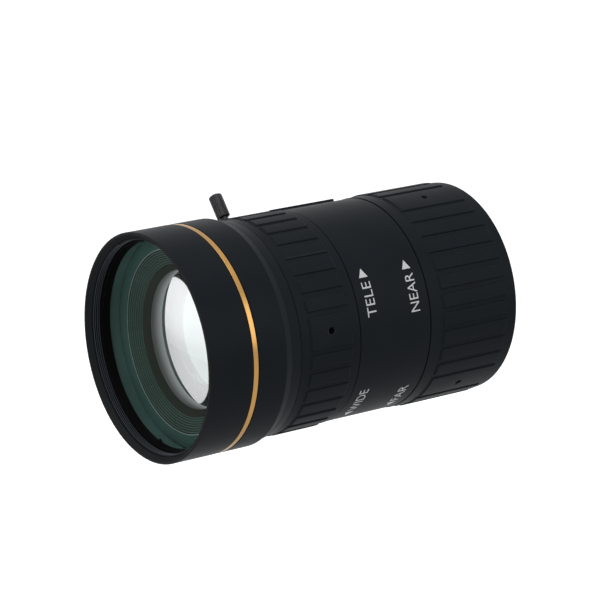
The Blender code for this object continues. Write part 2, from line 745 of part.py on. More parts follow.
def make_group(label, axis, metal, glass, retainer_metal, pin_metal, sizes):
    """A sliding cell with two elements, their retainers and three drive pins."""
    middle = sizes["middle"]
    length = sizes["length"]
    glass_radius = sizes["glass_radius"]
    edge = sizes["glass_edge"]
    carrier = bpy.data.objects.new(label + "_group", None)
    carrier.parent = axis
    carrier.location = (0.0, 0.0, middle)
    pieces.objects.link(carrier)
    bore = glass_radius + CLEARANCE
    shoulder = bore - CELL_SHOULDER_OVERLAP
    half = length / 2
    step = CELL_SHOULDER / 2
    points = [
        (CELL_RADIUS, half),
        (CELL_RADIUS, -half),
        (bore, -half),
        (bore, -step),
        (shoulder, -step),
        (shoulder, step),
        (bore, step),
        (bore, half),
    ]
    cell = turned(label + "_cell", points, INNER_STEPS, metal, carrier)
    frames = []
    for index in range(PINS_PER_GROUP):
        angle = sizes["pin_angle"] + math.tau * index / PINS_PER_GROUP
        frames.append(radial(angle, 0.0))
    seat = CELL_RADIUS - PIN_SEAT_DEPTH
    seat_name = label + "_pin_seats"
    hole_radius = PIN_RADIUS + CLEARANCE
    holes = rods(seat_name, frames, hole_radius, seat - CLEARANCE, 2 * CELL_RADIUS)
    cut(cell, as_cutter(seat_name, holes, carrier))
    for index, frame in enumerate(frames):
        name = label + "_pin_" + "abc"[index]
        mesh = rods(name, [Matrix.Identity(4)], PIN_RADIUS, seat, PIN_TIP)
        pin = new_piece(name, mesh, pin_metal, carrier)
        pin.matrix_local = frame
    near = step + CLEARANCE
    far = near + edge
    retainer_near = far + CLEARANCE
    retainer_far = retainer_near + GROUP_RETAINER_LENGTH
    retainer_bore = glass_radius - GROUP_RETAINER_WALL
    outward, inward = sizes["front_curves"]
    outline = lens_points(glass_radius, far, near, outward, inward, GLASS_LAND)
    turned(label + "_front_element", outline, INNER_STEPS, glass, carrier, closed=False)
    ring = tube_points(glass_radius, retainer_bore, retainer_far, retainer_near)
    turned(label + "_front_retainer", ring, INNER_STEPS, retainer_metal, carrier)
    outward, inward = sizes["rear_curves"]
    outline = lens_points(glass_radius, -near, -far, inward, outward, GLASS_LAND)
    turned(label + "_rear_element", outline, INNER_STEPS, glass, carrier, closed=False)
    ring = tube_points(glass_radius, retainer_bore, -retainer_near, -retainer_far)
    turned(label + "_rear_retainer", ring, INNER_STEPS, retainer_metal, carrier)


def blade_outline(reach, half_width, tail_end, tail_half, slot_start):
    """Blade seen along the axis, with its tail towards the lever."""
    corner = half_width / 3
    return [
        (-reach + corner, -half_width),
        (reach, -half_width),
        (slot_start, -tail_half),
        (tail_end, -tail_half),
        (tail_end, tail_half),
        (slot_start, tail_half),
        (reach, half_width),
        (-reach + corner, half_width),
        (-reach, half_width - corner),
        (-reach, -half_width + corner),
    ]


def make_iris(axis, metal, blade_metal, drive_metal):
    """Two blades that slide past each other, worked by a lever on a rotary drive.

    The blades are drawn half stopped down: at one end of the lever's swing their
    openings lie on the optical axis, and at the other end they no longer meet.
    """
    unit = bpy.data.objects.new("iris_unit", None)
    unit.parent = axis
    unit.location = (0.0, 0.0, IRIS_PLACE)
    unit.rotation_euler = (0.0, 0.0, IRIS_ANGLE)
    pieces.objects.link(unit)

    rim_top = IRIS_DEPTH
    base_points = [
        (CELL_RADIUS, rim_top),
        (CELL_RADIUS, -IRIS_PLATE),
        (IRIS_APERTURE, -IRIS_PLATE),
        (IRIS_APERTURE, 0.0),
        (CELL_RADIUS - IRIS_RIM, 0.0),
        (CELL_RADIUS - IRIS_RIM, rim_top),
    ]
    base = turned("iris_base", base_points, INNER_STEPS, metal, axis)
    base.location = unit.location
    pivot = Matrix.Translation((LEVER_PLACE, 0.0, 0.0))
    bearing = LEVER_SHAFT_RADIUS + CLEARANCE
    shaft_hole = rods("shaft_hole", [pivot], bearing, -2 * IRIS_PLATE, IRIS_PLATE)
    cut(base, as_cutter("shaft_hole", shaft_hole, unit))
    front_low = rim_top + CLEARANCE
    plate = tube_points(CELL_RADIUS, IRIS_APERTURE, front_low + IRIS_FRONT_PLATE, front_low)
    front_plate = turned("iris_front_plate", plate, INNER_STEPS, metal, axis)
    front_plate.location = unit.location

    lever_low = (rim_top - LEVER_THICKNESS) / 2
    lever_high = lever_low + LEVER_THICKNESS
    rear_blade = (2 * CLEARANCE, 2 * CLEARANCE + BLADE_THICKNESS)
    front_blade = (rim_top - 2 * CLEARANCE - BLADE_THICKNESS, rim_top - 2 * CLEARANCE)
    swing = LEVER_ARM * (1.0 - math.cos(LEVER_TURN))
    play = LEVER_PIN_RADIUS + PIN_PLAY
    outer_pin = LEVER_PLACE + LEVER_ARM
    inner_pin = LEVER_PLACE - LEVER_ARM
    reach = IRIS_APERTURE + BLADE_MARGIN
    stroke = LEVER_ARM * math.sin(LEVER_TURN)
    for name, heights, pin_from, pin_to, aside in (
        ("front_blade", front_blade, outer_pin - swing, outer_pin, stroke),
        ("rear_blade", rear_blade, inner_pin, inner_pin + swing, -stroke),
    ):
        tail_end = pin_to + play + 2 * CLEARANCE
        neck = reach + play
        outline = blade_outline(reach, BLADE_HALF_WIDTH, tail_end, BLADE_TAIL_HALF_WIDTH, neck)
        plate = prism(name, outline, *heights)
        blade = new_piece("iris_" + name, plate, blade_metal, unit)
        off_axis = Matrix.Translation((0.0, aside, 0.0))
        opening_name = name + "_opening"
        opening = rods(opening_name, [off_axis], BLADE_HOLE, -rim_top, 2 * rim_top, INNER_STEPS)
        cut(blade, as_cutter(opening_name, opening, unit))
        slot_size = (pin_to - pin_from + 2 * play, 2 * play, 4 * rim_top)
        slot_middle = ((pin_from + pin_to) / 2, 0.0, 0.0)
        slot = blocks(name + "_slot", [Matrix.Identity(4)], slot_size, slot_middle)
        cut(blade, as_cutter(name + "_slot", slot, unit))

    lever = bpy.data.objects.new("lever_pivot", None)
    lever.parent = unit
    lever.location = (LEVER_PLACE, 0.0, 0.0)
    pieces.objects.link(lever)
    end = LEVER_ARM + LEVER_HALF_WIDTH
    side = LEVER_HALF_WIDTH
    arm = [(-end, -side), (end, -side), (end, side), (-end, side)]
    bar = prism("iris_lever", arm, lever_low, lever_high)
    body = new_piece("iris_lever", bar, drive_metal, lever)
    middle = [Matrix.Identity(4)]
    sink = LEVER_THICKNESS / 2
    shaft_top = lever_high - sink
    shaft = rods("lever_shaft", middle, LEVER_SHAFT_RADIUS, -LEVER_SHAFT_LENGTH, shaft_top)
    outward = Matrix.Translation((LEVER_ARM, 0.0, 0.0))
    inward = Matrix.Translation((-LEVER_ARM, 0.0, 0.0))
    pin_top = front_blade[1]
    pin_bottom = rear_blade[0]
    front_pin = rods("front_pin", [outward], LEVER_PIN_RADIUS, lever_low + sink, pin_top)
    rear_pin = rods("rear_pin", [inward], LEVER_PIN_RADIUS, pin_bottom, lever_high - sink)
    for name, mesh in (("lever_shaft", shaft), ("front_pin", front_pin), ("rear_pin", rear_pin)):
        cut(body, as_cutter(name, mesh, lever), "UNION")

    top = -IRIS_PLATE - CLEARANCE
    drive_mesh = rods("iris_drive", middle, DRIVE_RADIUS, top - DRIVE_LENGTH, top, INNER_STEPS)
    drive = new_piece("iris_drive", drive_mesh, drive_metal, lever)
    depth = -LEVER_SHAFT_LENGTH - CLEARANCE
    drive_hole = rods("drive_bearing", middle, bearing, depth, rim_top)
    cut(drive, as_cutter("drive_bearing", drive_hole, lever))


def make_rear(axis, barrel_metal, mount_metal, glass, retainer_metal):
    """Cover behind the focus ring, the C-mount and the last element."""
    flange_rear = FOCUS_REAR + CLEARANCE
    flange_front = flange_rear + REAR_FLANGE_THICKNESS
    seat = MOUNT_FLANGE_RADIUS + CLEARANCE
    barrel_bore = REAR_GLASS_RADIUS + CLEARANCE
    barrel_outer = barrel_bore + REAR_BARREL_WALL
    pass_through = barrel_outer + CLEARANCE
    mount_front = MOUNT_FLANGE_THICKNESS
    cover_points = [
        (REAR_FLANGE_RADIUS, flange_front),
        (REAR_FLANGE_RADIUS, flange_rear),
        (REAR_STEP_RADIUS, flange_rear),
        (REAR_FACE_RADIUS, REAR_FACE_SINK),
        (seat, REAR_FACE_SINK),
        (seat, mount_front + CLEARANCE),
        (pass_through, mount_front + CLEARANCE),
        (pass_through, flange_front),
    ]
    turned("rear_cover", cover_points, BARREL_STEPS, barrel_metal, axis)

    barrel_front = mount_front + REAR_BARREL_LENGTH
    step_bore = MOUNT_BORE - REAR_BARREL_WALL
    mount_points = [
        (barrel_outer, barrel_front),
        (barrel_outer, mount_front),
        (MOUNT_FLANGE_RADIUS, mount_front),
        (MOUNT_FLANGE_RADIUS, 0.0),
        (MOUNT_RADIUS, 0.0),
        (MOUNT_RADIUS, EDGE_BREAK - MOUNT_LENGTH),
        (MOUNT_RADIUS - EDGE_BREAK, -MOUNT_LENGTH),
        (MOUNT_BORE, -MOUNT_LENGTH),
        (step_bore, REAR_SEAT),
        (step_bore, mount_front),
        (barrel_bore, mount_front),
        (barrel_bore, barrel_front),
    ]
    turned("camera_mount_ring", mount_points, INNER_STEPS, mount_metal, axis)
    glass_rear = mount_front + CLEARANCE
    glass_front = glass_rear + REAR_GLASS_EDGE
    points = lens_points(
        REAR_GLASS_RADIUS,
        glass_front,
        glass_rear,
        REAR_GLASS_CURVE,
        REAR_GLASS_CURVE,
        REAR_BARREL_WALL,
    )
    turned("rear_element", points, INNER_STEPS, glass, axis, closed=False)
    low = glass_front + CLEARANCE
    high = low + REAR_RETAINER_LENGTH
    ring = tube_points(REAR_GLASS_RADIUS, REAR_GLASS_RADIUS - REAR_BARREL_WALL, high, low)
    turned("rear_retainer", ring, INNER_STEPS, retainer_metal, axis)


def make_lock_screw(name, axis, hole_angle, place, material):
    """Thumb screw with a straight-knurled, domed head in one of a ring's tapped holes."""
    pad = BAND_RADIUS + PAD_HEIGHT
    tip = RING_BORE
    collar_base = pad + CLEARANCE
    head_base = pad + SCREW_COLLAR_LENGTH
    head_top = head_base + SCREW_HEAD_LENGTH
    core = SCREW_HEAD_RADIUS - 2 * SCREW_TOOTH_DEPTH
    shank = [
        (0.0, head_top),
        (core / 2, head_top - SCREW_CROWN / 4),
        (core, head_top - SCREW_CROWN),
        (core, head_base + SCREW_HEAD_LENGTH / 2),
        (SCREW_COLLAR_RADIUS, head_base + SCREW_HEAD_LENGTH / 2),
        (SCREW_COLLAR_RADIUS, collar_base),
        (SCREW_SHANK_RADIUS, collar_base),
        (SCREW_SHANK_RADIUS, tip),
        (0.0, tip),
    ]
    screw = turned(name, shank, SMALL_STEPS, material, axis, closed=False)
    outline = []
    for index in range(2 * SCREW_TEETH):
        turn = math.pi * index / SCREW_TEETH
        out = SCREW_HEAD_RADIUS - SCREW_TOOTH_DEPTH * (index % 2)
        outline.append((out * math.cos(turn), out * math.sin(turn)))
    knurl = prism(name + "_head", outline, head_base, head_top - SCREW_CROWN / 2)
    head = as_cutter(name + "_head", knurl, axis)
    cut(screw, head, "UNION")
    for item in (screw, head):
        item.matrix_local = radial(hole_angle, place)


def smooth_pieces():
    """Keeps each piece's cut shape as its mesh, shaded smooth across small angles."""
    depsgraph = bpy.context.evaluated_depsgraph_get()
    shapes = {}
    for piece in pieces.objects:
        if piece.type == "MESH":
            shapes[piece] = bpy.data.meshes.new_from_object(piece.evaluated_get(depsgraph))
    for piece, mesh in shapes.items():
        piece.modifiers.clear()
        piece.data = mesh
        mesh.shade_smooth()
        mesh.set_sharp_from_angle(angle=math.radians(30.0))


def main():
    axis = start_scene()
    satin_black = finish_material("satin_black", (0.022, 0.024, 0.027), 0.42, 0.6)
    grip_black = finish_material("grip_black", (0.020, 0.022, 0.024), 0.45, 0.6)
    gold = finish_material("gold_anodised", (0.72, 0.45, 0.16), 0.30, 1.0)
    trap_black = finish_material("trap_black", (0.008, 0.008, 0.009), 0.70, 0.0)
    inner_black = finish_material("inner_black", (0.015, 0.015, 0.016), 0.60, 0.3)
    coated_glass = finish_material("coated_glass", (0.80, 0.92, 0.88), 0.02, 0.0, 1.0)
    steel = finish_material("steel", (0.55, 0.55, 0.56), 0.30, 1.0)
    rubber = finish_material("rubber", (0.012, 0.012, 0.012), 0.80, 0.0)
    screw_black = finish_material("screw_black", (0.030, 0.031, 0.034), 0.40, 0.7)

    make_front_bezel(axis, satin_black)
    make_accent_ring(axis, gold)
    make_front_barrel(axis, satin_black)
    make_front_retainer(axis, trap_black)
    make_front_glass(axis, coated_glass)
    make_spacer(axis, trap_black)
    make_second_glass(axis, coated_glass)
    make_zoom_ring(axis, grip_black)
    make_index_barrel(axis, satin_black)
    make_focus_ring(axis, grip_black)
    make_main_tube(axis, inner_black)
    make_iris_cover(axis, satin_black, rubber)
    zoom_sizes = {
        "middle": ZOOM_MIDDLE,
        "length": ZOOM_CELL_LENGTH,
        "glass_radius": ZOOM_GLASS_RADIUS,
        "glass_edge": ZOOM_GLASS_EDGE,
        "pin_angle": ZOOM_HOLE_ANGLE + ZOOM_PIN_OFFSET,
        "front_curves": (-ZOOM_GLASS_CURVE, 3 * ZOOM_GLASS_CURVE),
        "rear_curves": (-ZOOM_GLASS_CURVE, -2 * ZOOM_GLASS_CURVE),
    }
    make_group("zoom", axis, inner_black, coated_glass, trap_black, steel, zoom_sizes)
    focus_sizes = {
        "middle": FOCUS_MIDDLE,
        "length": FOCUS_CELL_LENGTH,
        "glass_radius": FOCUS_GLASS_RADIUS,
        "glass_edge": FOCUS_GLASS_EDGE,
        "pin_angle": FOCUS_HOLE_ANGLE + FOCUS_PIN_OFFSET,
        "front_curves": (FOCUS_GLASS_CURVE, 2 * FOCUS_GLASS_CURVE),
        "rear_curves": (FOCUS_GLASS_CURVE, 2 * FOCUS_GLASS_CURVE),
    }
    make_group("focus", axis, inner_black, coated_glass, trap_black, steel, focus_sizes)
    make_iris(axis, inner_black, trap_black, steel)
    make_rear(axis, satin_black, steel, coated_glass, trap_black)
    zoom_lock = ZOOM_HOLE_ANGLE + math.tau / HOLES_PER_RING
    focus_lock = FOCUS_HOLE_ANGLE + math.tau / HOLES_PER_RING
    zoom_place = hole_place(ZOOM_REAR, ZOOM_FRONT, ZOOM_BAND_REAR, ZOOM_BAND_FRONT)
    focus_place = hole_place(FOCUS_REAR, FOCUS_FRONT, FOCUS_BAND_REAR, FOCUS_BAND_FRONT)
    make_lock_screw("zoom_lock_screw", axis, zoom_lock, zoom_place, screw_black)
    make_lock_screw("focus_lock_screw", axis, focus_lock, focus_place, screw_black)
    smooth_pieces()


main()
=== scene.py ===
"""Looks of the varifocal lens: fine turned shells, grip pads, threads, lettering and glass.

Metres, in the model's own axes: the optical axis lies along Y and the glass faces -Y.
Pieces are drawn in the lens's axes, where z is the distance forward of the camera
flange and an angle is counted from +X towards +Z, and are then laid along Y.
"""
import json
import math

import bmesh
import bpy
from mathutils import Matrix, Vector


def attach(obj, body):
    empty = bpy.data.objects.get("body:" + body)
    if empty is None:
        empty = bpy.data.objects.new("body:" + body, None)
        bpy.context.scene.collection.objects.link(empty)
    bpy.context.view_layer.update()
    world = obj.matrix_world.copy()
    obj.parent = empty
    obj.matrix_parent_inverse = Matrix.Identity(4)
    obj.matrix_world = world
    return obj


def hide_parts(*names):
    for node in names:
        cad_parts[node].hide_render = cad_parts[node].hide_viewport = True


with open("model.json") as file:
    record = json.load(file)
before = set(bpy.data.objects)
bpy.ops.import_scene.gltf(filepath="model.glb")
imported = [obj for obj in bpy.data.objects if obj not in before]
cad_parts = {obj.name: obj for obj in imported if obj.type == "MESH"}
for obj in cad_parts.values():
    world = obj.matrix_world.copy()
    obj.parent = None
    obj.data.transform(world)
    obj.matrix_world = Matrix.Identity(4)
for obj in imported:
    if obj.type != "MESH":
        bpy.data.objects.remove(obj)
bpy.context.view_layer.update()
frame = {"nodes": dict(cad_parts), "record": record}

# Stations along the axis, forward of the flange: outside, from the front
RIM = 0.1390
BEZEL_REAR = RIM - 0.0177
ACCENT_FRONT = BEZEL_REAR - 0.0003
ACCENT_REAR = ACCENT_FRONT - 0.0019
COLLAR_FRONT = ACCENT_REAR - 0.0003
COLLAR_REAR = COLLAR_FRONT - 0.0115
NECK_FRONT = COLLAR_REAR - 0.0027
NECK_REAR = NECK_FRONT - 0.0047
ZOOM_FRONT = NECK_REAR - 0.0003
ZOOM_REAR = ZOOM_FRONT - 0.0251
INDEX_FRONT = ZOOM_REAR - 0.00045
INDEX_REAR = ZOOM_REAR - 0.0311
FOCUS_FRONT = INDEX_REAR - 0.0003
FOCUS_REAR = FOCUS_FRONT - 0.0393
FOCUS_REBATE = FOCUS_REAR + 0.0033
ZOOM_PADS = (ZOOM_FRONT - 0.0034, ZOOM_REAR + 0.0033)
FOCUS_PADS = (FOCUS_FRONT - 0.0050, FOCUS_REAR + 0.00435)
ZOOM_HOLES = sum(ZOOM_PADS) / 2 - 0.0002
FOCUS_HOLES = sum(FOCUS_PADS) / 2 - 0.0002
ZOOM_PRINT = RIM - 0.0706
FOCUS_PRINT = RIM - 0.0895
COVER_REAR = 0.0012
MOUNT_FLANGE = 0.0
MOUNT_END = -0.0039

# Stations inside the front end, from the rim back
LIP_END = RIM - 0.0020
THREAD_END = RIM - 0.0052
RETAINER_FRONT = RIM - 0.0055
RETAINER_REAR = RIM - 0.0087
GREEN_FRONT = RIM - 0.0089
FRONT_GLASS_LAND = RIM - 0.0090
TRAP_FRONT = RIM - 0.0134
FUNNEL_FRONT = RIM - 0.0136
FUNNEL_REAR = RIM - 0.0163
BORE_FRONT = RIM - 0.0184
BORE_LIGHT_START = RIM - 0.0188
TRAP_REAR = RIM - 0.0236
SECOND_GLASS_FRONT = RIM - 0.0238
SECOND_GLASS_SEAT = RIM - 0.0248
SECOND_GLASS_REAR = RIM - 0.0308
REAR_SHOULDER = RIM - 0.0313
FRONT_BARREL_END = RIM - 0.0330

# Radii
BARREL = 0.04115
ACCENT = 0.04105
RING_SEAT = 0.0400
SPIGOT = 0.0397
THREAD_CREST = 0.0385
GLASS_BORE = 0.0385
GLASS_EDGE = 0.0382
SECOND_GLASS_EDGE = 0.0292
SECOND_GLASS_REACH = 0.0288
BAND = 0.0391
INDEX = 0.0389
PAD_TOP = 0.0396
GROOVE_FLOOR = 0.03910
RING_BORE = 0.0353
REBATE_BORE = 0.0370
HOLE_BOTTOM = 0.034
HOLE_TOP = 0.042
HOLE_RADIUS = 0.0013
MOUNT_THREAD = 0.0124

# Grip pads: widths of their slopes and rounded sides, and how deep they are sunk
PAD_FRONT_SLOPE = 0.00095
PAD_REAR_SLOPE = 0.0007
PAD_SIDE = 0.00045
PAD_SUNK = 0.00004
PAD_ROOT = 0.0006
HALF_GROOVE = 0.00085 / PAD_TOP
SIDE_STEPS = (0.0, 0.15, 0.35, 0.6, 0.85, 1.0, 1.15)
END_STEPS = (0.0, 0.25, 0.5, 0.75, 0.92, 1.0, 1.08, 1.3)

# Angles from +X towards +Z
ZOOM_HOLE_ANGLE = math.radians(10.4)
FOCUS_HOLE_ANGLE = math.radians(78.4)
PAD_PITCH = math.radians(10.0)
THIRD = math.tau / 3

# How finely curves are divided
FINE_STEPS = 288
MOUNT_STEPS = 192
SCREW_STEPS = 60
HOLE_STEPS = 32
DOME_STEPS = 24
ARC_STEPS = 4
THREAD_TURN_STEPS = 160
BEND_STEP = 0.0004

# Threads, knurls and print
FILTER_PITCH = 0.00075
MOUNT_PITCH = 0.000794
TRAP_RIDGES = 8
SCREW_TEETH = 22
LETTER_HEIGHT = 0.0038
TRIANGLE_WIDTH = 0.0037
PRINT_HALF = 0.00002
LAY_DOWN = Matrix.Rotation(math.radians(90.0), 4, "X")


# Shader groups

RING_SPACING = 0.00012
GRAIN_STRENGTH = 0.08
GRAIN_HEIGHT = 0.00002
MOTTLE_DARK, MOTTLE_LIGHT = 0.82, 1.18
ROUGHNESS_SPREAD = 0.08
EDGE_STEEPNESS = 12.0
GLASS_HAZE = 0.012
CLOUD_SCALE, WEAR_SCALE, HAZE_SCALE = 60.0, 350.0, 90.0


def new_group(name, inputs, outputs):
    group = bpy.data.node_groups.new(name, "ShaderNodeTree")
    for label, kind, value in inputs:
        socket = group.interface.new_socket(label, in_out="INPUT", socket_type=kind)
        socket.default_value = value
    for label, kind in outputs:
        group.interface.new_socket(label, in_out="OUTPUT", socket_type=kind)
    return group


def add(tree, kind, **settings):
    node = tree.nodes.new(kind)
    for key, value in settings.items():
        setattr(node, key, value)
    return node


def feed(tree, node, **sources):
    """Links outputs to a node's inputs, by the inputs' names."""
    for label, source in sources.items():
        tree.links.new(source, node.inputs[label.replace("_", " ")])


def math_node(tree, operation, first, second=0.0):
    """One step of arithmetic. Each side is a number or another node's output."""
    node = add(tree, "ShaderNodeMath", operation=operation)
    for socket, value in zip(node.inputs, (first, second)):
        if isinstance(value, (int, float)):
            socket.default_value = value
        else:
            tree.links.new(value, socket)
    return node.outputs[0]


def noise_node(tree, scale, detail):
    """Noise over the piece's own coordinates."""
    place = add(tree, "ShaderNodeTexCoord")
    noise = add(tree, "ShaderNodeTexNoise")
    noise.inputs["Scale"].default_value = scale
    noise.inputs["Detail"].default_value = detail
    feed(tree, noise, Vector=place.outputs["Object"])
    return noise


def span_node(tree, value, low, high):
    """Spreads a value from 0 to 1 over a range."""
    span = add(tree, "ShaderNodeMapRange")
    span.inputs["To Min"].default_value = low
    span.inputs["To Max"].default_value = high
    feed(tree, span, Value=value)
    return span.outputs["Result"]


def make_turned_grain():
    """Fine rings left by the lathe under a bead-blasted grain: a height and a mottling."""
    group = new_group(
        "turned_grain",
        [
            ("Ring Spacing", "NodeSocketFloat", RING_SPACING),
            ("Grain Size", "NodeSocketFloat", 0.00015),
            ("Ring Share", "NodeSocketFloat", 0.35),
        ],
        [("Height", "NodeSocketFloat"), ("Mottle", "NodeSocketFloat")],
    )
    ins = add(group, "NodeGroupInput")
    outs = add(group, "NodeGroupOutput")
    place = add(group, "ShaderNodeTexCoord")
    parts = add(group, "ShaderNodeSeparateXYZ")
    feed(group, parts, Vector=place.outputs["Object"])
    along = math_node(group, "DIVIDE", parts.outputs["Y"], ins.outputs["Ring Spacing"])
    rings = add(group, "ShaderNodeTexNoise", noise_dimensions="1D")
    rings.inputs["Scale"].default_value = 1.0
    rings.inputs["Detail"].default_value = 3.0
    feed(group, rings, W=along)
    finer = math_node(group, "DIVIDE", 1.0, ins.outputs["Grain Size"])
    grain = noise_node(group, 1.0, 2.0)
    feed(group, grain, Scale=finer)
    share = math_node(group, "MULTIPLY", rings.outputs[0], ins.outputs["Ring Share"])
    rest = math_node(group, "SUBTRACT", 1.0, ins.outputs["Ring Share"])
    other = math_node(group, "MULTIPLY", grain.outputs[0], rest)
    height = math_node(group, "ADD", share, other)
    cloud = noise_node(group, CLOUD_SCALE, 5.0)
    feed(group, outs, Height=height, Mottle=cloud.outputs[0])
    return group


def make_edge_wear():
    """How much an outer edge has lost its dye: 0 on flats, up to 1 on rubbed edges."""
    group = new_group(
        "edge_wear",
        [("Start", "NodeSocketFloat", 0.53), ("Amount", "NodeSocketFloat", 0.5)],
        [("Mask", "NodeSocketFloat")],
    )
    ins = add(group, "NodeGroupInput")
    outs = add(group, "NodeGroupOutput")
    shape = add(group, "ShaderNodeNewGeometry")
    patch = noise_node(group, WEAR_SCALE, 4.0)
    above = math_node(group, "SUBTRACT", shape.outputs["Pointiness"], ins.outputs["Start"])
    steep = math_node(group, "MULTIPLY", above, EDGE_STEEPNESS)
    clipped = add(group, "ShaderNodeClamp")
    feed(group, clipped, Value=steep)
    broken = math_node(group, "MULTIPLY", clipped.outputs[0], patch.outputs[0])
    worn = math_node(group, "MULTIPLY", broken, ins.outputs["Amount"])
    feed(group, outs, Mask=worn)
    return group


TURNED_GRAIN = make_turned_grain()
EDGE_WEAR = make_edge_wear()


def use_group(tree, group, **values):
    node = add(tree, "ShaderNodeGroup", node_tree=group)
    for label, value in values.items():
        node.inputs[label.replace("_", " ")].default_value = value
    return node


def shader_of(material):
    material.use_nodes = True
    return material.node_tree.nodes["Principled BSDF"]


def metal_finish(
    name,
    colour,
    worn,
    roughness,
    metallic,
    specular=0.5,
    grain=0.00015,
    ring_share=0.35,
    wear=0.35,
):
    """Blasted or turned surface with lathe rings, a little mottling and rubbed edges."""
    material = bpy.data.materials.new(name)
    shader = shader_of(material)
    tree = material.node_tree
    shader.inputs["Metallic"].default_value = metallic
    shader.inputs["Specular IOR Level"].default_value = specular
    surface = use_group(
        tree, TURNED_GRAIN, Ring_Spacing=RING_SPACING, Grain_Size=grain, Ring_Share=ring_share
    )
    edges = use_group(tree, EDGE_WEAR, Amount=wear)
    tone = add(tree, "ShaderNodeMix", data_type="RGBA")
    tone.inputs["A"].default_value = (*(c * MOTTLE_DARK for c in colour), 1.0)
    tone.inputs["B"].default_value = (*(c * MOTTLE_LIGHT for c in colour), 1.0)
    feed(tree, tone, Factor=surface.outputs["Mottle"])
    rubbed = add(tree, "ShaderNodeMix", data_type="RGBA")
    rubbed.inputs["B"].default_value = (*worn, 1.0)
    feed(tree, rubbed, Factor=edges.outputs["Mask"], A=tone.outputs["Result"])
    smooth, rough = roughness - ROUGHNESS_SPREAD, roughness + ROUGHNESS_SPREAD
    gloss = span_node(tree, surface.outputs["Mottle"], smooth, rough)
    relief = add(tree, "ShaderNodeBump")
    relief.inputs["Strength"].default_value = GRAIN_STRENGTH
    relief.inputs["Distance"].default_value = GRAIN_HEIGHT
    feed(tree, relief, Height=surface.outputs["Height"])
    feed(tree, shader, Base_Color=rubbed.outputs["Result"], Roughness=gloss)
    feed(tree, shader, Normal=relief.outputs["Normal"])
    material.diffuse_color = (*colour, 1.0)
    return material


def glass_finish(name, colour, tint, specular, index):
    """Polished coated glass. The coating tints what it reflects.

    The front element's coating leaves so little reflection that its index is near 1.
    """
    material = bpy.data.materials.new(name)
    shader = shader_of(material)
    tree = material.node_tree
    shader.inputs["Base Color"].default_value = (*colour, 1.0)
    shader.inputs["Transmission Weight"].default_value = 1.0
    shader.inputs["IOR"].default_value = index
    shader.inputs["Specular IOR Level"].default_value = specular
    shader.inputs["Specular Tint"].default_value = (*tint, 1.0)
    haze = noise_node(tree, HAZE_SCALE, 2.0)
    feed(tree, shader, Roughness=span_node(tree, haze.outputs[0], 0.0, GLASS_HAZE))
    material.diffuse_color = (*colour, 0.4)
    return material


def inner_reflection_finish(name):
    """Rear face of the second element: clear straight on, and a mirror seen slantwise.

    A slanting ray can't leave the glass through the rear face, so all of it comes back.
    """
    clear_below, mirror_above = 0.010, 0.020
    material = bpy.data.materials.new(name)
    material.use_nodes = True
    tree = material.node_tree
    tree.nodes.clear()
    out = add(tree, "ShaderNodeOutputMaterial")
    facing = add(tree, "ShaderNodeLayerWeight")
    facing.inputs["Blend"].default_value = 0.5
    turn = add(tree, "ShaderNodeMapRange")
    turn.inputs["From Min"].default_value = clear_below
    turn.inputs["From Max"].default_value = mirror_above
    mirror = add(tree, "ShaderNodeBsdfGlossy")
    mirror.inputs["Color"].default_value = (0.745, 0.735, 0.765, 1.0)
    mirror.inputs["Roughness"].default_value = 0.03
    clear = add(tree, "ShaderNodeBsdfTransparent")
    both = add(tree, "ShaderNodeMixShader")
    feed(tree, turn, Value=facing.outputs["Facing"])
    feed(tree, both, Fac=turn.outputs["Result"])
    tree.links.new(clear.outputs[0], both.inputs[1])
    tree.links.new(mirror.outputs[0], both.inputs[2])
    feed(tree, out, Surface=both.outputs[0])
    material.diffuse_color = (0.8, 0.85, 0.9, 0.4)
    return material


def painted_light_by_place(material, across, start, end, colour):
    """Paints light onto a finish: fades its colour to a lighter one from start to end.

    Both are places along the model's Y axis or, where across is true, radii.
    """
    tree = material.node_tree
    shader = tree.nodes["Principled BSDF"]
    plain = shader.inputs["Base Color"].links[0].from_socket
    place = add(tree, "ShaderNodeTexCoord")
    parts = add(tree, "ShaderNodeSeparateXYZ")
    feed(tree, parts, Vector=place.outputs["Object"])
    measure = parts.outputs["Y"]
    if across:
        wide = math_node(tree, "POWER", parts.outputs["X"], 2.0)
        tall = math_node(tree, "POWER", parts.outputs["Z"], 2.0)
        measure = math_node(tree, "SQRT", math_node(tree, "ADD", wide, tall))
    depth = add(tree, "ShaderNodeMapRange", interpolation_type="SMOOTHSTEP")
    depth.inputs["From Min"].default_value = start
    depth.inputs["From Max"].default_value = end
    feed(tree, depth, Value=measure)
    lit = add(tree, "ShaderNodeMix", data_type="RGBA")
    lit.inputs["B"].default_value = (*colour, 1.0)
    feed(tree, lit, Factor=depth.outputs["Result"], A=plain)
    feed(tree, shader, Base_Color=lit.outputs["Result"])


BLACK = (0.0070, 0.0090, 0.0112)
BLACK_WORN = (0.030, 0.033, 0.037)


def dyed_finish(name, colour, roughness, specular=0.03, worn=BLACK_WORN, **more):
    """Anodised, painted or moulded surface, paler only where it is rubbed."""
    return metal_finish(name, colour, worn, roughness, 0.0, specular=specular, **more)


def wall_finish(name, colour, roughness, specular):
    """Inner surface that nothing rubs. Most colours given to it are painted: the green cast of the
    coated glass, and light and shade inside the lens.
    """
    return metal_finish(name, colour, colour, roughness, 0.0, specular=specular, wear=0.0)


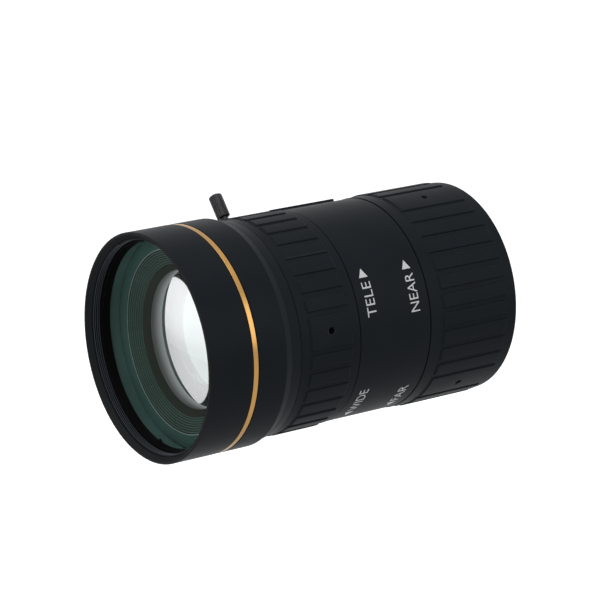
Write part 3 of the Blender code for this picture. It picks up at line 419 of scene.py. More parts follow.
barrel_black = dyed_finish("barrel_black", BLACK, 0.40)
grip_black = dyed_finish("grip_black", BLACK, 0.42, ring_share=0.1, wear=0.5)
rim_black = dyed_finish("rim_black", (0.0155, 0.0165, 0.0180), 0.42)
# Painted highlight: the slope between collar and neck is given a paler black for the band of light
# along it.
shoulder_painted_highlight = dyed_finish("shoulder_painted_highlight", (0.0103, 0.0130, 0.0160), 0.42)
trap_black = dyed_finish("trap_black", (0.0021, 0.0022, 0.0024), 0.55, 0.06, (0.004,) * 3)
inner_black = dyed_finish("inner_black", (0.004, 0.004, 0.0045), 0.55, 0.2, (0.01,) * 3)
screw_black = dyed_finish(
    "screw_black", (0.004, 0.0045, 0.006), 0.36, 0.3, (0.10, 0.10, 0.11), wear=0.7
)
rubber = dyed_finish("grommet_rubber", (0.008,) * 3, 0.75, 0.3, (0.015,) * 3)
print_white = dyed_finish("print_white", (0.38, 0.39, 0.40), 0.5, 0.3, (0.6,) * 3, wear=0.1)

thread_black_painted_highlight = wall_finish("thread_black_painted_highlight", (0.006, 0.007, 0.008), 0.40, 0.04)
# Painted tint: the green that the coated glass gives the light is painted into this wall's colour.
wall_green = wall_finish("wall_green", (0.041, 0.077, 0.070), 0.60, 0.02)
# Painted light: the glass seat is given a paler colour to lift the shade that the retaining ring
# casts on it.
seat_green_painted_light = wall_finish("seat_green_painted_light", (0.068, 0.118, 0.108), 0.60, 0.02)
# Painted tint: the ridges' black is painted green, the cast of the coated glass in front of them.
ridge_black = wall_finish("ridge_black", (0.028, 0.046, 0.040), 0.60, 0.02)
# Painted highlights: the ridge crests, and brightest the foremost one, get pale colours that stand
# for the light they catch.
ridge_crest_highlight = wall_finish("ridge_crest_highlight", (0.120, 0.155, 0.145), 0.50, 0.05)
first_crest_highlight = wall_finish("first_crest_highlight", (0.42, 0.45, 0.46), 0.40, 0.1)
bore_dark = wall_finish("bore_dark", (0.026, 0.029, 0.026), 0.60, 0.02)
bore_lit = wall_finish("bore_lit", (0.15, 0.15, 0.15), 0.45, 0.1)
ground_edge = wall_finish("ground_edge", (0.50, 0.51, 0.53), 0.80, 0.1)
# Painted light: the bore's pale colour brightens further towards the rear, a pool of light painted
# on it.
painted_light_by_place(bore_lit, False, -BORE_LIGHT_START, -TRAP_REAR, (0.62, 0.64, 0.65))
# Painted highlight: the filter thread's crests fade to a lighter colour, standing for the light
# they catch.
painted_light_by_place(
    thread_black_painted_highlight, True, THREAD_CREST - 0.00024, THREAD_CREST - 0.00038, (0.064, 0.073, 0.086)
)

gold_band = metal_finish(
    "gold_band",
    (0.42, 0.235, 0.075),
    (0.55, 0.38, 0.18),
    0.30,
    1.0,
    grain=0.00006,
    ring_share=0.8,
    wear=0.2,
)
nickel = metal_finish(
    "bright_nickel", (0.60, 0.59, 0.56), (0.75, 0.74, 0.72), 0.24, 1.0, ring_share=0.8
)
steel = metal_finish(
    "turned_steel", (0.52, 0.52, 0.53), (0.7, 0.7, 0.7), 0.28, 1.0, ring_share=0.6
)

front_glass = glass_finish("front_glass", (0.97, 1.0, 0.985), (0.40, 1.0, 0.90), 0.5, 1.002)
inner_glass = glass_finish("inner_glass", (0.985, 1.0, 0.99), (0.55, 1.0, 0.85), 0.05, 1.52)
inner_reflection = inner_reflection_finish("inner_reflection")


# Shapes


def finish_mesh(shape, name, sharp=35.0):
    """A mesh shaded smooth, with a hard edge where it bends by more than an angle."""
    mesh = bpy.data.meshes.new(name)
    bmesh.ops.recalc_face_normals(shape, faces=shape.faces)
    shape.to_mesh(mesh)
    shape.free()
    mesh.shade_smooth()
    mesh.set_sharp_from_angle(angle=math.radians(sharp))
    return mesh


def piece_from(mesh, name, *materials, place=None):
    """A piece with its place in its mesh, laid along the model's Y axis."""
    if place is not None:
        mesh.transform(place)
    mesh.transform(LAY_DOWN)
    piece = bpy.data.objects.new(name, mesh)
    bpy.context.scene.collection.objects.link(piece)
    for material in materials:
        if material.name not in mesh.materials:
            mesh.materials.append(material)
    return piece


def softened(corners):
    """Rounds the corners of a closed profile. Each corner is radius, height, rounding.

    A point just before and just after each arc keeps the shading of the flats flat.
    """
    margin, longest_share = 1.3, 0.45
    points = []
    count = len(corners)
    for index, (radius, height, rounding) in enumerate(corners):
        here = Vector((radius, height))
        before = Vector(corners[index - 1][:2])
        after = Vector(corners[(index + 1) % count][:2])
        if rounding <= 0.0:
            points.append(tuple(here))
            continue
        way_in = (before - here).normalized()
        way_out = (after - here).normalized()
        opening = way_in.angle(way_out)
        reach = rounding / math.tan(opening / 2)
        limit = longest_share * min((before - here).length, (after - here).length)
        reach = min(reach, limit)
        start = here + way_in * reach
        end = here + way_out * reach
        points.append(tuple(here + way_in * reach * margin))
        for step in range(ARC_STEPS + 1):
            share = step / ARC_STEPS
            bend = start.lerp(here, share).lerp(here.lerp(end, share), share)
            points.append(tuple(bend))
        points.append(tuple(here + way_out * reach * margin))
    return points


def spun(points, steps=FINE_STEPS, closed=True):
    """A profile turned about the axis. Points at radius 0 become poles."""
    shape = bmesh.new()
    rings = []
    for radius, height in points:
        if radius < 1e-9:
            rings.append([shape.verts.new((0.0, 0.0, height))])
            continue
        ring = []
        for step in range(steps):
            turn = math.tau * step / steps
            flat = (radius * math.cos(turn), radius * math.sin(turn))
            ring.append(shape.verts.new((*flat, height)))
        rings.append(ring)
    pairs = list(zip(rings, rings[1:]))
    if closed:
        pairs.append((rings[-1], rings[0]))
    for first, second in pairs:
        for step in range(steps):
            follow = (step + 1) % steps
            if len(first) == 1 and len(second) == 1:
                break
            if len(first) == 1:
                shape.faces.new((first[0], second[step], second[follow]))
            elif len(second) == 1:
                shape.faces.new((first[step], second[0], first[follow]))
            else:
                shape.faces.new((first[step], second[step], second[follow], first[follow]))
    return shape


def turned(name, corners, material, steps=FINE_STEPS):
    """A ring turned from its profile's corners, in one finish."""
    return piece_from(finish_mesh(spun(softened(corners), steps), name), name, material)


def refinish(piece, material, chosen):
    """Gives another finish to the faces that a rule on radius and depth picks.

    Depth is measured back from the front rim.
    """
    piece.data.materials.append(material)
    slot = len(piece.data.materials) - 1
    for face in piece.data.polygons:
        if chosen(math.hypot(face.center.x, face.center.z), face.center.y + RIM):
            face.material_index = slot


def extrude_flat(shape, points, low, high):
    """A flat outline at one height, raised to another."""
    face = shape.faces.new([shape.verts.new((x, y, low)) for x, y in points])
    raised = bmesh.ops.extrude_face_region(shape, geom=[face])
    for item in raised["geom"]:
        if isinstance(item, bmesh.types.BMVert):
            item.co.z = high


def cut_with(piece, cutter):
    """Cuts a piece and keeps the result, in one finish, as its plain mesh."""
    cutter.data.materials.append(piece.data.materials[0])
    cut = piece.modifiers.new("cut", "BOOLEAN")
    cut.operation = "DIFFERENCE"
    cut.solver = "EXACT"
    cut.object = cutter
    bake(piece)
    bpy.data.objects.remove(cutter)


def bake(piece):
    """Turns a piece's modifiers into its plain mesh."""
    graph = bpy.context.evaluated_depsgraph_get()
    mesh = bpy.data.meshes.new_from_object(piece.evaluated_get(graph))
    piece.modifiers.clear()
    piece.data = mesh
    mesh.name = piece.name


def radial(angle, station):
    """Turns a shape drawn along +Z to point outwards at an angle, at a station."""
    return (
        Matrix.Translation((0.0, 0.0, station))
        @ Matrix.Rotation(angle, 4, "Z")
        @ Matrix.Rotation(math.radians(90.0), 4, "Y")
    )


# Geometry trees


def new_tree(name, inputs):
    tree = bpy.data.node_groups.new(name, "GeometryNodeTree")
    tree.interface.new_socket("Geometry", in_out="OUTPUT", socket_type="NodeSocketGeometry")
    for label, kind in inputs:
        tree.interface.new_socket(label, in_out="INPUT", socket_type=kind)
    return tree


def set_input(modifier, tree, label, value):
    for item in tree.interface.items_tree:
        if item.item_type == "SOCKET" and item.in_out == "INPUT" and item.name == label:
            modifier[item.identifier] = value
            return
    raise KeyError(label)


def end_tree(tree, geometry, ins, outs):
    """Ends a tree: its copies made real, and in the finish that it is given."""
    real = add(tree, "GeometryNodeRealizeInstances")
    feed(tree, real, Geometry=geometry)
    finish = add(tree, "GeometryNodeSetMaterial")
    feed(tree, finish, Geometry=real.outputs[0], Material=ins.outputs["Finish"])
    feed(tree, outs, Geometry=finish.outputs[0])


def make_round_pattern():
    """Copies of a shape around the axis, in groups with a wider gap between them."""
    tree = new_tree(
        "round_pattern",
        [
            ("Geometry", "NodeSocketGeometry"),
            ("Count", "NodeSocketInt"),
            ("First Angle", "NodeSocketFloat"),
            ("Pitch", "NodeSocketFloat"),
            ("Per Group", "NodeSocketInt"),
            ("Group Gap", "NodeSocketFloat"),
            ("Finish", "NodeSocketMaterial"),
        ],
    )
    ins = add(tree, "NodeGroupInput")
    outs = add(tree, "NodeGroupOutput")
    points = add(tree, "GeometryNodePoints")
    feed(tree, points, Count=ins.outputs["Count"])
    index = add(tree, "GeometryNodeInputIndex")
    turn = math_node(tree, "MULTIPLY", index.outputs[0], ins.outputs["Pitch"])
    group = math_node(tree, "DIVIDE", index.outputs[0], ins.outputs["Per Group"])
    whole = math_node(tree, "FLOOR", group)
    gap = math_node(tree, "MULTIPLY", whole, ins.outputs["Group Gap"])
    angle = math_node(tree, "ADD", turn, gap)
    angle = math_node(tree, "ADD", angle, ins.outputs["First Angle"])
    spin = add(tree, "ShaderNodeCombineXYZ")
    feed(tree, spin, Z=angle)
    copies = add(tree, "GeometryNodeInstanceOnPoints")
    feed(tree, copies, Points=points.outputs[0], Instance=ins.outputs["Geometry"])
    feed(tree, copies, Rotation=spin.outputs[0])
    end_tree(tree, copies.outputs[0], ins, outs)
    return tree


def make_screw_thread():
    """A ridge wound round the axis: the crests of a thread."""
    crest_share = 0.96
    tree = new_tree(
        "screw_thread",
        [
            ("Geometry", "NodeSocketGeometry"),
            ("Radius", "NodeSocketFloat"),
            ("Pitch", "NodeSocketFloat"),
            ("Turns", "NodeSocketFloat"),
            ("Depth", "NodeSocketFloat"),
            ("Steps", "NodeSocketInt"),
            ("Finish", "NodeSocketMaterial"),
        ],
    )
    ins = add(tree, "NodeGroupInput")
    outs = add(tree, "NodeGroupOutput")
    helix = add(tree, "GeometryNodeCurveSpiral")
    radius, turns = ins.outputs["Radius"], ins.outputs["Turns"]
    length = math_node(tree, "MULTIPLY", turns, ins.outputs["Pitch"])
    feed(tree, helix, Resolution=ins.outputs["Steps"], Rotations=turns)
    feed(tree, helix, Start_Radius=radius, End_Radius=radius, Height=length)
    upright = add(tree, "GeometryNodeSetCurveNormal", mode="Z_UP")
    feed(tree, upright, Curve=helix.outputs[0])
    ridge = add(tree, "GeometryNodeCurvePrimitiveQuadrilateral", mode="KITE")
    width = math_node(tree, "MULTIPLY", ins.outputs["Depth"], 2.0)
    half = math_node(tree, "MULTIPLY", ins.outputs["Pitch"], crest_share / 2)
    feed(tree, ridge, Width=width, Bottom_Height=half, Top_Height=half)
    wound = add(tree, "GeometryNodeCurveToMesh")
    wound.inputs["Fill Caps"].default_value = True
    feed(tree, wound, Curve=upright.outputs[0], Profile_Curve=ridge.outputs[0])
    end_tree(tree, wound.outputs[0], ins, outs)
    return tree


ROUND_PATTERN = make_round_pattern()
SCREW_THREAD = make_screw_thread()
ONE_GROUP = 1000


def grown(name, mesh, tree, values):
    """The mesh that a geometry tree makes of a shape, as a plain mesh."""
    seed = bpy.data.objects.new(name, mesh)
    bpy.context.scene.collection.objects.link(seed)
    modifier = seed.modifiers.new(name, "NODES")
    modifier.node_group = tree
    for label, value in values.items():
        set_input(modifier, tree, label, value)
    graph = bpy.context.evaluated_depsgraph_get()
    made = bpy.data.meshes.new_from_object(seed.evaluated_get(graph))
    bpy.data.objects.remove(seed)
    made.name = name
    made.materials.clear()
    made.materials.append(values["Finish"])
    made.polygons.foreach_set("material_index", [0] * len(made.polygons))
    return made


def round_pattern(name, mesh, count, first, pitch, material, per_group=ONE_GROUP, gap=0.0):
    """Copies of a mesh round the axis, with a gap after each group of them."""
    values = {
        "Count": count,
        "First Angle": first,
        "Pitch": pitch,
        "Per Group": per_group,
        "Group Gap": gap,
        "Finish": material,
    }
    return grown(name, mesh, ROUND_PATTERN, values)


def screw_thread(name, radius, pitch, turns, depth, start, material):
    """Thread crests wound forwards from a station, as a plain mesh."""
    values = {
        "Radius": radius,
        "Pitch": pitch,
        "Turns": turns,
        "Depth": depth,
        "Steps": THREAD_TURN_STEPS,
        "Finish": material,
    }
    mesh = grown(name, bpy.data.meshes.new(name), SCREW_THREAD, values)
    mesh.transform(Matrix.Translation((0.0, 0.0, start)))
    mesh.shade_smooth()
    mesh.set_sharp_from_angle(angle=math.radians(30.0))
    return mesh


# Front end


def make_front_bezel():
    """The rim with its lip and the filter thread inside it."""
    corners = [
        (0.04075, RIM, 0.00005),
        (BARREL, RIM - 0.0004, 0.00012),
        (BARREL, BEZEL_REAR, 0.00012),
        (RING_SEAT, BEZEL_REAR, 0.0),
        (RING_SEAT, THREAD_END, 0.0),
        (THREAD_CREST, THREAD_END, 0.0),
        (THREAD_CREST, LIP_END, 0.00005),
        (0.0389, LIP_END, 0.00008),
        (0.04012, RIM, 0.00006),
    ]
    shell = turned("bezel_shell", corners, barrel_black)
    flat_depth, cone_depth, lip_depth = 0.00035, 0.0018, 0.00205
    refinish(
        shell,
        rim_black,
        lambda out, depth: depth < flat_depth or (out < 0.0402 and depth < cone_depth),
    )
    refinish(
        shell,
        trap_black,
        lambda out, depth: out < 0.03889 and cone_depth <= depth < lip_depth,
    )
    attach(shell, "body")
    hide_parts("front_bezel")
    turns = (LIP_END - THREAD_END) / FILTER_PITCH - 0.6
    start = THREAD_END + 0.0002
    mesh = screw_thread(
        "filter_thread", THREAD_CREST, FILTER_PITCH, turns, 0.00043, start, thread_black_painted_highlight
    )
    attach(piece_from(mesh, "filter_thread"), "body")


def make_accent_band():
    """The narrow gold ring between the bezel and the collar."""
    corners = [
        (ACCENT, ACCENT_FRONT, 0.0001),
        (ACCENT, ACCENT_REAR, 0.0001),
        (RING_SEAT, ACCENT_REAR, 0.0),
        (RING_SEAT, ACCENT_FRONT, 0.0),
    ]
    band = turned("accent_band", corners, gold_band)
    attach(band, "body")
    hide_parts("accent_ring")


def make_front_barrel():
    """Collar and neck, with the bore that holds both front elements."""
    corners = [
        (SPIGOT, RETAINER_FRONT, 0.0),
        (SPIGOT, COLLAR_FRONT, 0.0),
        (BARREL, COLLAR_FRONT, 0.00012),
        (BARREL, COLLAR_REAR, 0.00025),
        (BARREL - 0.00095, NECK_FRONT, 0.0003),
        (BARREL - 0.00185, NECK_REAR, 0.00012),
        (RING_BORE, NECK_REAR, 0.0),
        (RING_BORE, FRONT_BARREL_END, 0.0),
        (0.0265, FRONT_BARREL_END, 0.0),
        (0.0265, REAR_SHOULDER, 0.0),
        (0.0295, REAR_SHOULDER, 0.0),
        (0.0295, SECOND_GLASS_SEAT, 0.0),
        (GLASS_BORE, SECOND_GLASS_SEAT, 0.0),
        (GLASS_BORE, GREEN_FRONT, 0.0),
        (GLASS_BORE, RETAINER_FRONT, 0.0),
    ]
    shell = turned("front_barrel_shell", corners, barrel_black)
    bore_depths = (0.0080, 0.0249)
    # Painted light on the bore round the front element: paler, to lift the shade under the
    # retaining ring.
    refinish(
        shell,
        seat_green_painted_light,
        lambda out, depth: out < GLASS_BORE + 0.0001 and bore_depths[0] < depth < bore_depths[1],
    )
    # Painted highlight on the shoulder slope between collar and neck.
    slope_depths = (RIM - COLLAR_REAR + 0.0002, RIM - NECK_FRONT)
    refinish(
        shell,
        shoulder_painted_highlight,
        lambda out, depth: slope_depths[0] < depth < slope_depths[1],
    )
    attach(shell, "body")
    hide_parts("front_barrel")


def make_front_retainer():
    """The ring that holds the front element, with two spanner notches and a lug."""
    corners = [
        (GLASS_EDGE, RETAINER_FRONT, 0.0001),
        (GLASS_EDGE, RETAINER_REAR, 0.0),
        (0.0372, RETAINER_REAR, 0.00012),
        (0.0375, RETAINER_FRONT, 0.00012),
    ]
    ring = turned("glass_retainer", corners, trap_black)
    notches = bmesh.new()
    notch_place = Matrix.Translation((0.0376, 0.0, RETAINER_REAR + 0.0006))
    notch_size = Matrix.Diagonal((0.0012, 0.0016, 0.0024, 1.0))
    for angle in (math.radians(-70.0), math.radians(110.0)):
        place = Matrix.Rotation(angle, 4, "Z") @ notch_place @ notch_size
        bmesh.ops.create_cube(notches, size=1.0, matrix=place)
    cutter = piece_from(finish_mesh(notches, "notches"), "notches")
    cut_with(ring, cutter)
    lug = bmesh.new()
    points = []
    for radius, angle in ((0.0375, -97.6), (0.0363, -96.6), (0.0375, -94.2)):
        turn = math.radians(angle)
        points.append((radius * math.cos(turn), radius * math.sin(turn)))
    extrude_flat(lug, points, RETAINER_REAR, RETAINER_REAR + 0.0008)
    tooth = piece_from(finish_mesh(lug, "retainer_lug"), "retainer_lug", trap_black)
    for piece in (ring, tooth):
        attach(piece, "body")
    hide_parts("front_retaining_ring")


def dome(curve, reach):
    """Points of a spherical face from its rim inwards, as radius and fall below the apex."""
    points = []
    for index in range(DOME_STEPS + 1):
        radius = reach * (1.0 - index / DOME_STEPS)
        points.append((radius, curve - math.sqrt(curve * curve - radius * radius)))
    return points


def face_points(curve, reach, height, forward):
    """One spherical face from its rim to its pole. forward is 1 for a front, -1 for a rear."""
    drop = dome(abs(curve), reach)
    sign = forward * math.copysign(1.0, curve)
    return [(at, height + sign * (drop[0][1] - fall)) for at, fall in drop]


def element_points(radius, front, rear, front_curve, rear_curve, front_reach, rear_reach):
    """Closed profile of an element from the front pole over the edge to the rear pole."""
    bevel = 0.0002
    edge = [(radius - bevel, front), (radius, front - bevel)]
    edge += [(radius, rear + bevel), (radius - bevel, rear)]
    front_face = face_points(front_curve, front_reach, front, 1.0)
    return front_face[::-1] + edge + face_points(rear_curve, rear_reach, rear, -1.0)


def lens_element(name, points, material):
    mesh = finish_mesh(spun(points, closed=False), name, 25.0)
    return piece_from(mesh, name, material)


def make_front_glass():
    """The large front element, bulging forwards and hollow behind."""
    rear = FRONT_GLASS_LAND - 0.0042
    points = element_points(GLASS_EDGE, FRONT_GLASS_LAND, rear, 0.165, -0.300, 0.0372, 0.0360)
    glass = lens_element("front_glass_element", points, front_glass)
    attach(glass, "body")
    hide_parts("front_element")


def make_light_trap():
    """Ring between the two front elements: sharp ridges with painted highlights on their crests,
    and a bore with painted light.
    """
    finishes = (ridge_black, ridge_crest_highlight, bore_lit, bore_dark, wall_green, first_crest_highlight)
    dark, crest, lit, funnel, wall, first = range(len(finishes))
    outer, opening, bore = 0.0330, 0.0275, 0.0250
    points = [(0.0366, TRAP_FRONT), (GLASS_EDGE, TRAP_FRONT)]
    points += [(GLASS_EDGE, TRAP_REAR), (bore, TRAP_REAR)]
    points += [(bore, BORE_FRONT), (opening - 0.0004, FUNNEL_REAR - 0.0002)]
    slots = [wall, dark, dark, lit, funnel, funnel]
    rise, crest_start, crest_end, foot = 0.0001, 0.00006, 0.0002, 0.00032
    for index in range(TRAP_RIDGES):
        share = index / (TRAP_RIDGES - 1)
        out = opening + (outer - opening) * share
        height = FUNNEL_REAR + (FUNNEL_FRONT - FUNNEL_REAR) * share
        points += [(out, height - rise), (out + crest_start, height + rise)]
        points += [(out + crest_end, height + rise), (out + foot, height - rise)]
        # Painted highlights: each ridge's crest face takes a crest colour, the foremost ridge the
        # brightest.
        slots += [dark, first if index == TRAP_RIDGES - 1 else crest, dark, dark]
    slots[-1] = wall
    shape = spun(points)
    shape.faces.ensure_lookup_table()
    for index, face in enumerate(shape.faces):
        face.material_index = slots[index // FINE_STEPS]
    trap = piece_from(finish_mesh(shape, "light_trap", 25.0), "light_trap", *finishes)
    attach(trap, "body")
    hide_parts("light_trap_spacer")


def make_second_glass():
    """The second element, whose rear face is a mirror to a slanting eye."""
    front, rear, face_edge = SECOND_GLASS_FRONT, SECOND_GLASS_REAR, SECOND_GLASS_REACH + 0.0001
    points = element_points(
        SECOND_GLASS_EDGE, front, rear, 0.070, 0.150, 0.0270, SECOND_GLASS_REACH
    )
    glass = lens_element("second_glass_element", points, inner_glass)
    rear_depth = RIM - rear - 0.00001
    refinish(glass, inner_reflection, lambda out, depth: out < face_edge and depth > rear_depth)
    refinish(glass, ground_edge, lambda out, depth: out > face_edge)
    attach(glass, "body")
    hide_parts("second_element")


# Grip rings


def limited(share):
    return max(0.0, min(1.0, share))


def pad_stations(half_width, middle_steps):
    """Places across a pad, along the turn: close together on its rounded sides."""
    sides = [PAD_SIDE * share for share in SIDE_STEPS]
    stations = [value - half_width for value in sides]
    for index in range(1, middle_steps):
        stations.append((-half_width + sides[-1]) * (1.0 - 2.0 * index / middle_steps))
    return stations + [half_width - value for value in reversed(sides)]


def pad_lengths(front, rear, middle_steps):
    """Places along a pad, along the axis: close together on its sloping ends."""
    lengths = [front - PAD_FRONT_SLOPE * share for share in END_STEPS]
    low, high = rear + PAD_REAR_SLOPE * END_STEPS[-1], lengths[-1]
    for index in range(1, middle_steps):
        lengths.append(high + (low - high) * index / middle_steps)
    return lengths + [rear + PAD_REAR_SLOPE * share for share in reversed(END_STEPS)]


def pad_shape(name, half_turn, front, rear, with_hole=False):
    """One raised pad with rounded edges and sloping ends, drawn at angle 0."""
    half_width = half_turn * PAD_TOP
    across_steps, along_steps = (12, 20) if with_hole else (6, 8)
    side_power, end_power = 2.2, 0.9
    floor = GROOVE_FLOOR - PAD_SUNK
    height = PAD_TOP - GROOVE_FLOOR + PAD_SUNK
    shape = bmesh.new()
    rows = []
    for length in pad_lengths(front, rear, along_steps):
        row = []
        for station in pad_stations(half_width, across_steps):
            from_side = limited((half_width - abs(station)) / PAD_SIDE)
            from_front = (front - length) / PAD_FRONT_SLOPE
            from_rear = (length - rear) / PAD_REAR_SLOPE
            from_end = limited(min(from_front, from_rear))
            level = min(1.0 - (1.0 - from_side) ** side_power, from_end ** end_power)
            radius = floor + height * level
            turn = station / PAD_TOP
            flat = (radius * math.cos(turn), radius * math.sin(turn))
            row.append(shape.verts.new((*flat, length)))
        rows.append(row)
    for first, second in zip(rows, rows[1:]):
        for index in range(len(first) - 1):
            shape.faces.new((first[index], second[index], second[index + 1], first[index + 1]))
    border = [edge for edge in shape.edges if edge.is_boundary]
    sunk = bmesh.ops.extrude_edge_only(shape, edges=border)
    lowered = [item for item in sunk["geom"] if isinstance(item, bmesh.types.BMVert)]
    for vert in lowered:
        out = math.hypot(vert.co.x, vert.co.y)
        vert.co.x *= (out - PAD_ROOT) / out
        vert.co.y *= (out - PAD_ROOT) / out
    rim = [edge for edge in shape.edges if edge.is_boundary]
    bmesh.ops.holes_fill(shape, edges=rim)
    bmesh.ops.triangulate(shape, faces=[face for face in shape.faces if len(face.verts) > 4])
    return finish_mesh(shape, name, 40.0)


def hole_cutter(places):
    """Rods where a ring's tapped holes go."""
    shape = bmesh.new()
    middle = Matrix.Translation((0.0, 0.0, (HOLE_BOTTOM + HOLE_TOP) / 2))
    for place in places:
        bmesh.ops.create_cone(
            shape,
            cap_ends=True,
            segments=HOLE_STEPS,
            radius1=HOLE_RADIUS,
            radius2=HOLE_RADIUS,
            depth=HOLE_TOP - HOLE_BOTTOM,
            matrix=place @ middle,
        )
    return piece_from(finish_mesh(shape, "holes"), "holes")


def make_grip_ring(label, node, front, rear, pads, hole_angle, hole_place):
    """The ring's turned body with its tapped holes, and the pads that stand on it."""
    pad_front, pad_rear = pads
    corners = [
        (BAND, front, 0.00010),
        (BAND, pad_front + 0.0002, 0.00008),
        (GROOVE_FLOOR, pad_front - 0.0001, 0.0),
        (GROOVE_FLOOR, pad_rear + 0.0001, 0.0),
        (BAND, pad_rear - 0.0002, 0.00008),
    ]
    if label == "focus":
        corners += [
            (BAND, rear, 0.0008),
            (REBATE_BORE, rear, 0.00015),
            (REBATE_BORE, FOCUS_REBATE, 0.0),
            (RING_BORE, FOCUS_REBATE, 0.0),
        ]
    else:
        corners += [(BAND, rear, 0.00010), (RING_BORE, rear, 0.0)]
    corners.append((RING_BORE, front, 0.0))
    ring = turned(label + "_ring_body", corners, grip_black)
    places = [radial(hole_angle + THIRD * index, hole_place) for index in range(3)]
    cut_with(ring, hole_cutter(places))
    narrow = pad_shape(label + "_pad", PAD_PITCH / 2 - HALF_GROOVE, pad_front, pad_rear)
    first = hole_angle + 1.5 * PAD_PITCH
    gap = 2 * PAD_PITCH
    made = round_pattern(label + "_pads", narrow, 30, first, PAD_PITCH, grip_black, 10, gap)
    narrow_pads = piece_from(made, label + "_pads")
    wide = pad_shape(label + "_wide_pad", PAD_PITCH - HALF_GROOVE, pad_front, pad_rear, True)
    made = round_pattern(label + "_hole_pads", wide, 3, hole_angle, THIRD, grip_black)
    wide_pads = piece_from(made, label + "_hole_pads")
    cut_with(wide_pads, hole_cutter(places))
    for piece in (ring, narrow_pads, wide_pads):
        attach(piece, node)
    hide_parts(node)


# Lettering on the index barrel


def wrap_print(shape):
    """Bends a flat shape, drawn in x along the turn and y forwards, round the barrel."""
    xs = [vert.co.x for vert in shape.verts]
    low, high = min(xs), max(xs)
    count = int((high - low) / BEND_STEP)
    for index in range(1, count + 1):
        bmesh.ops.bisect_plane(
            shape,
            geom=shape.verts[:] + shape.edges[:] + shape.faces[:],
            dist=1e-7,
            plane_co=(low + BEND_STEP * index, 0.0, 0.0),
            plane_no=(1.0, 0.0, 0.0),
        )
    for vert in shape.verts:
        turn = vert.co.x / INDEX
        out = INDEX + vert.co.z
        vert.co = Vector((out * math.cos(turn), out * math.sin(turn), vert.co.y))


def print_word(name, word, start, end, station):
    """A word printed on the barrel from one angle to another, read upwards."""
    stroke_thinned, slab_half = 0.004, 0.01
    curve = bpy.data.curves.new(name, "FONT")
    curve.body = word
    curve.size = 1.0
    curve.offset = -stroke_thinned
    curve.extrude = slab_half
    flat = bpy.data.objects.new(name, curve)
    bpy.context.scene.collection.objects.link(flat)
    graph = bpy.context.evaluated_depsgraph_get()
    graph.update()
    mesh = bpy.data.meshes.new_from_object(flat.evaluated_get(graph))
    bpy.data.objects.remove(flat)
    shape = bmesh.new()
    shape.from_mesh(mesh)
    bpy.data.meshes.remove(mesh)
    bmesh.ops.remove_doubles(shape, verts=shape.verts, dist=1e-5)
    xs = [vert.co.x for vert in shape.verts]
    ys = [vert.co.y for vert in shape.verts]
    wide = (end - start) * INDEX / (max(xs) - min(xs))
    tall = LETTER_HEIGHT / (max(ys) - min(ys))
    for vert in shape.verts:
        vert.co.x = (vert.co.x - min(xs)) * wide
        vert.co.y = (vert.co.y - min(ys)) * tall - LETTER_HEIGHT / 2
        vert.co.z *= PRINT_HALF / slab_half
    place_print(name, shape, start, station)


def print_triangle(name, base, apex, station):
    """A printed triangle from the angle of its base to that of its point."""
    shape = bmesh.new()
    reach = (apex - base) * INDEX
    corners = [(0.0, -TRIANGLE_WIDTH / 2), (reach, 0.0), (0.0, TRIANGLE_WIDTH / 2)]
    if reach < 0:
        corners.reverse()
    extrude_flat(shape, corners, -PRINT_HALF, PRINT_HALF)
    place_print(name, shape, base, station)


def place_print(name, shape, start, station):
    """Bends a print round the barrel and turns it to its angle and station."""
    wrap_print(shape)
    mesh = finish_mesh(shape, name, 30.0)
    turn = Matrix.Rotation(start, 4, "Z") @ Matrix.Translation((0.0, 0.0, station))
    piece = piece_from(mesh, name, print_white, place=turn)
    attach(piece, "body")


def make_lettering():
    """The four scale words and the triangles at their ends."""
    words = (
        ("print_tele", "TELE", 13.0, 31.5, ZOOM_PRINT),
        ("print_wide", "WIDE", -49.0, -30.0, ZOOM_PRINT),
        ("print_near", "NEAR", 11.0, 31.5, FOCUS_PRINT),
        ("print_far", "FAR", -49.0, -34.5, FOCUS_PRINT),
    )
    for name, word, start, end, line in words:
        print_word(name, word, math.radians(start), math.radians(end), line)
    for label, line in (("zoom", ZOOM_PRINT), ("focus", FOCUS_PRINT)):
        for way, base, apex in (("_up", 34.0, 39.0), ("_down", -51.0, -56.0)):
            ends = (math.radians(base), math.radians(apex))
            print_triangle("print_" + label + way, *ends, line)


def make_index_barrel():
    """The smooth barrel between the two grip rings."""
    corners = [
        (INDEX, INDEX_FRONT, 0.00010),
        (INDEX, INDEX_REAR, 0.00010),
        (RING_BORE, INDEX_REAR, 0.0),
        (RING_BORE, INDEX_FRONT, 0.0),
    ]
    shell = turned("index_barrel_shell", corners, barrel_black)
    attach(shell, "body")
    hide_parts("index_barrel")


# Rear end


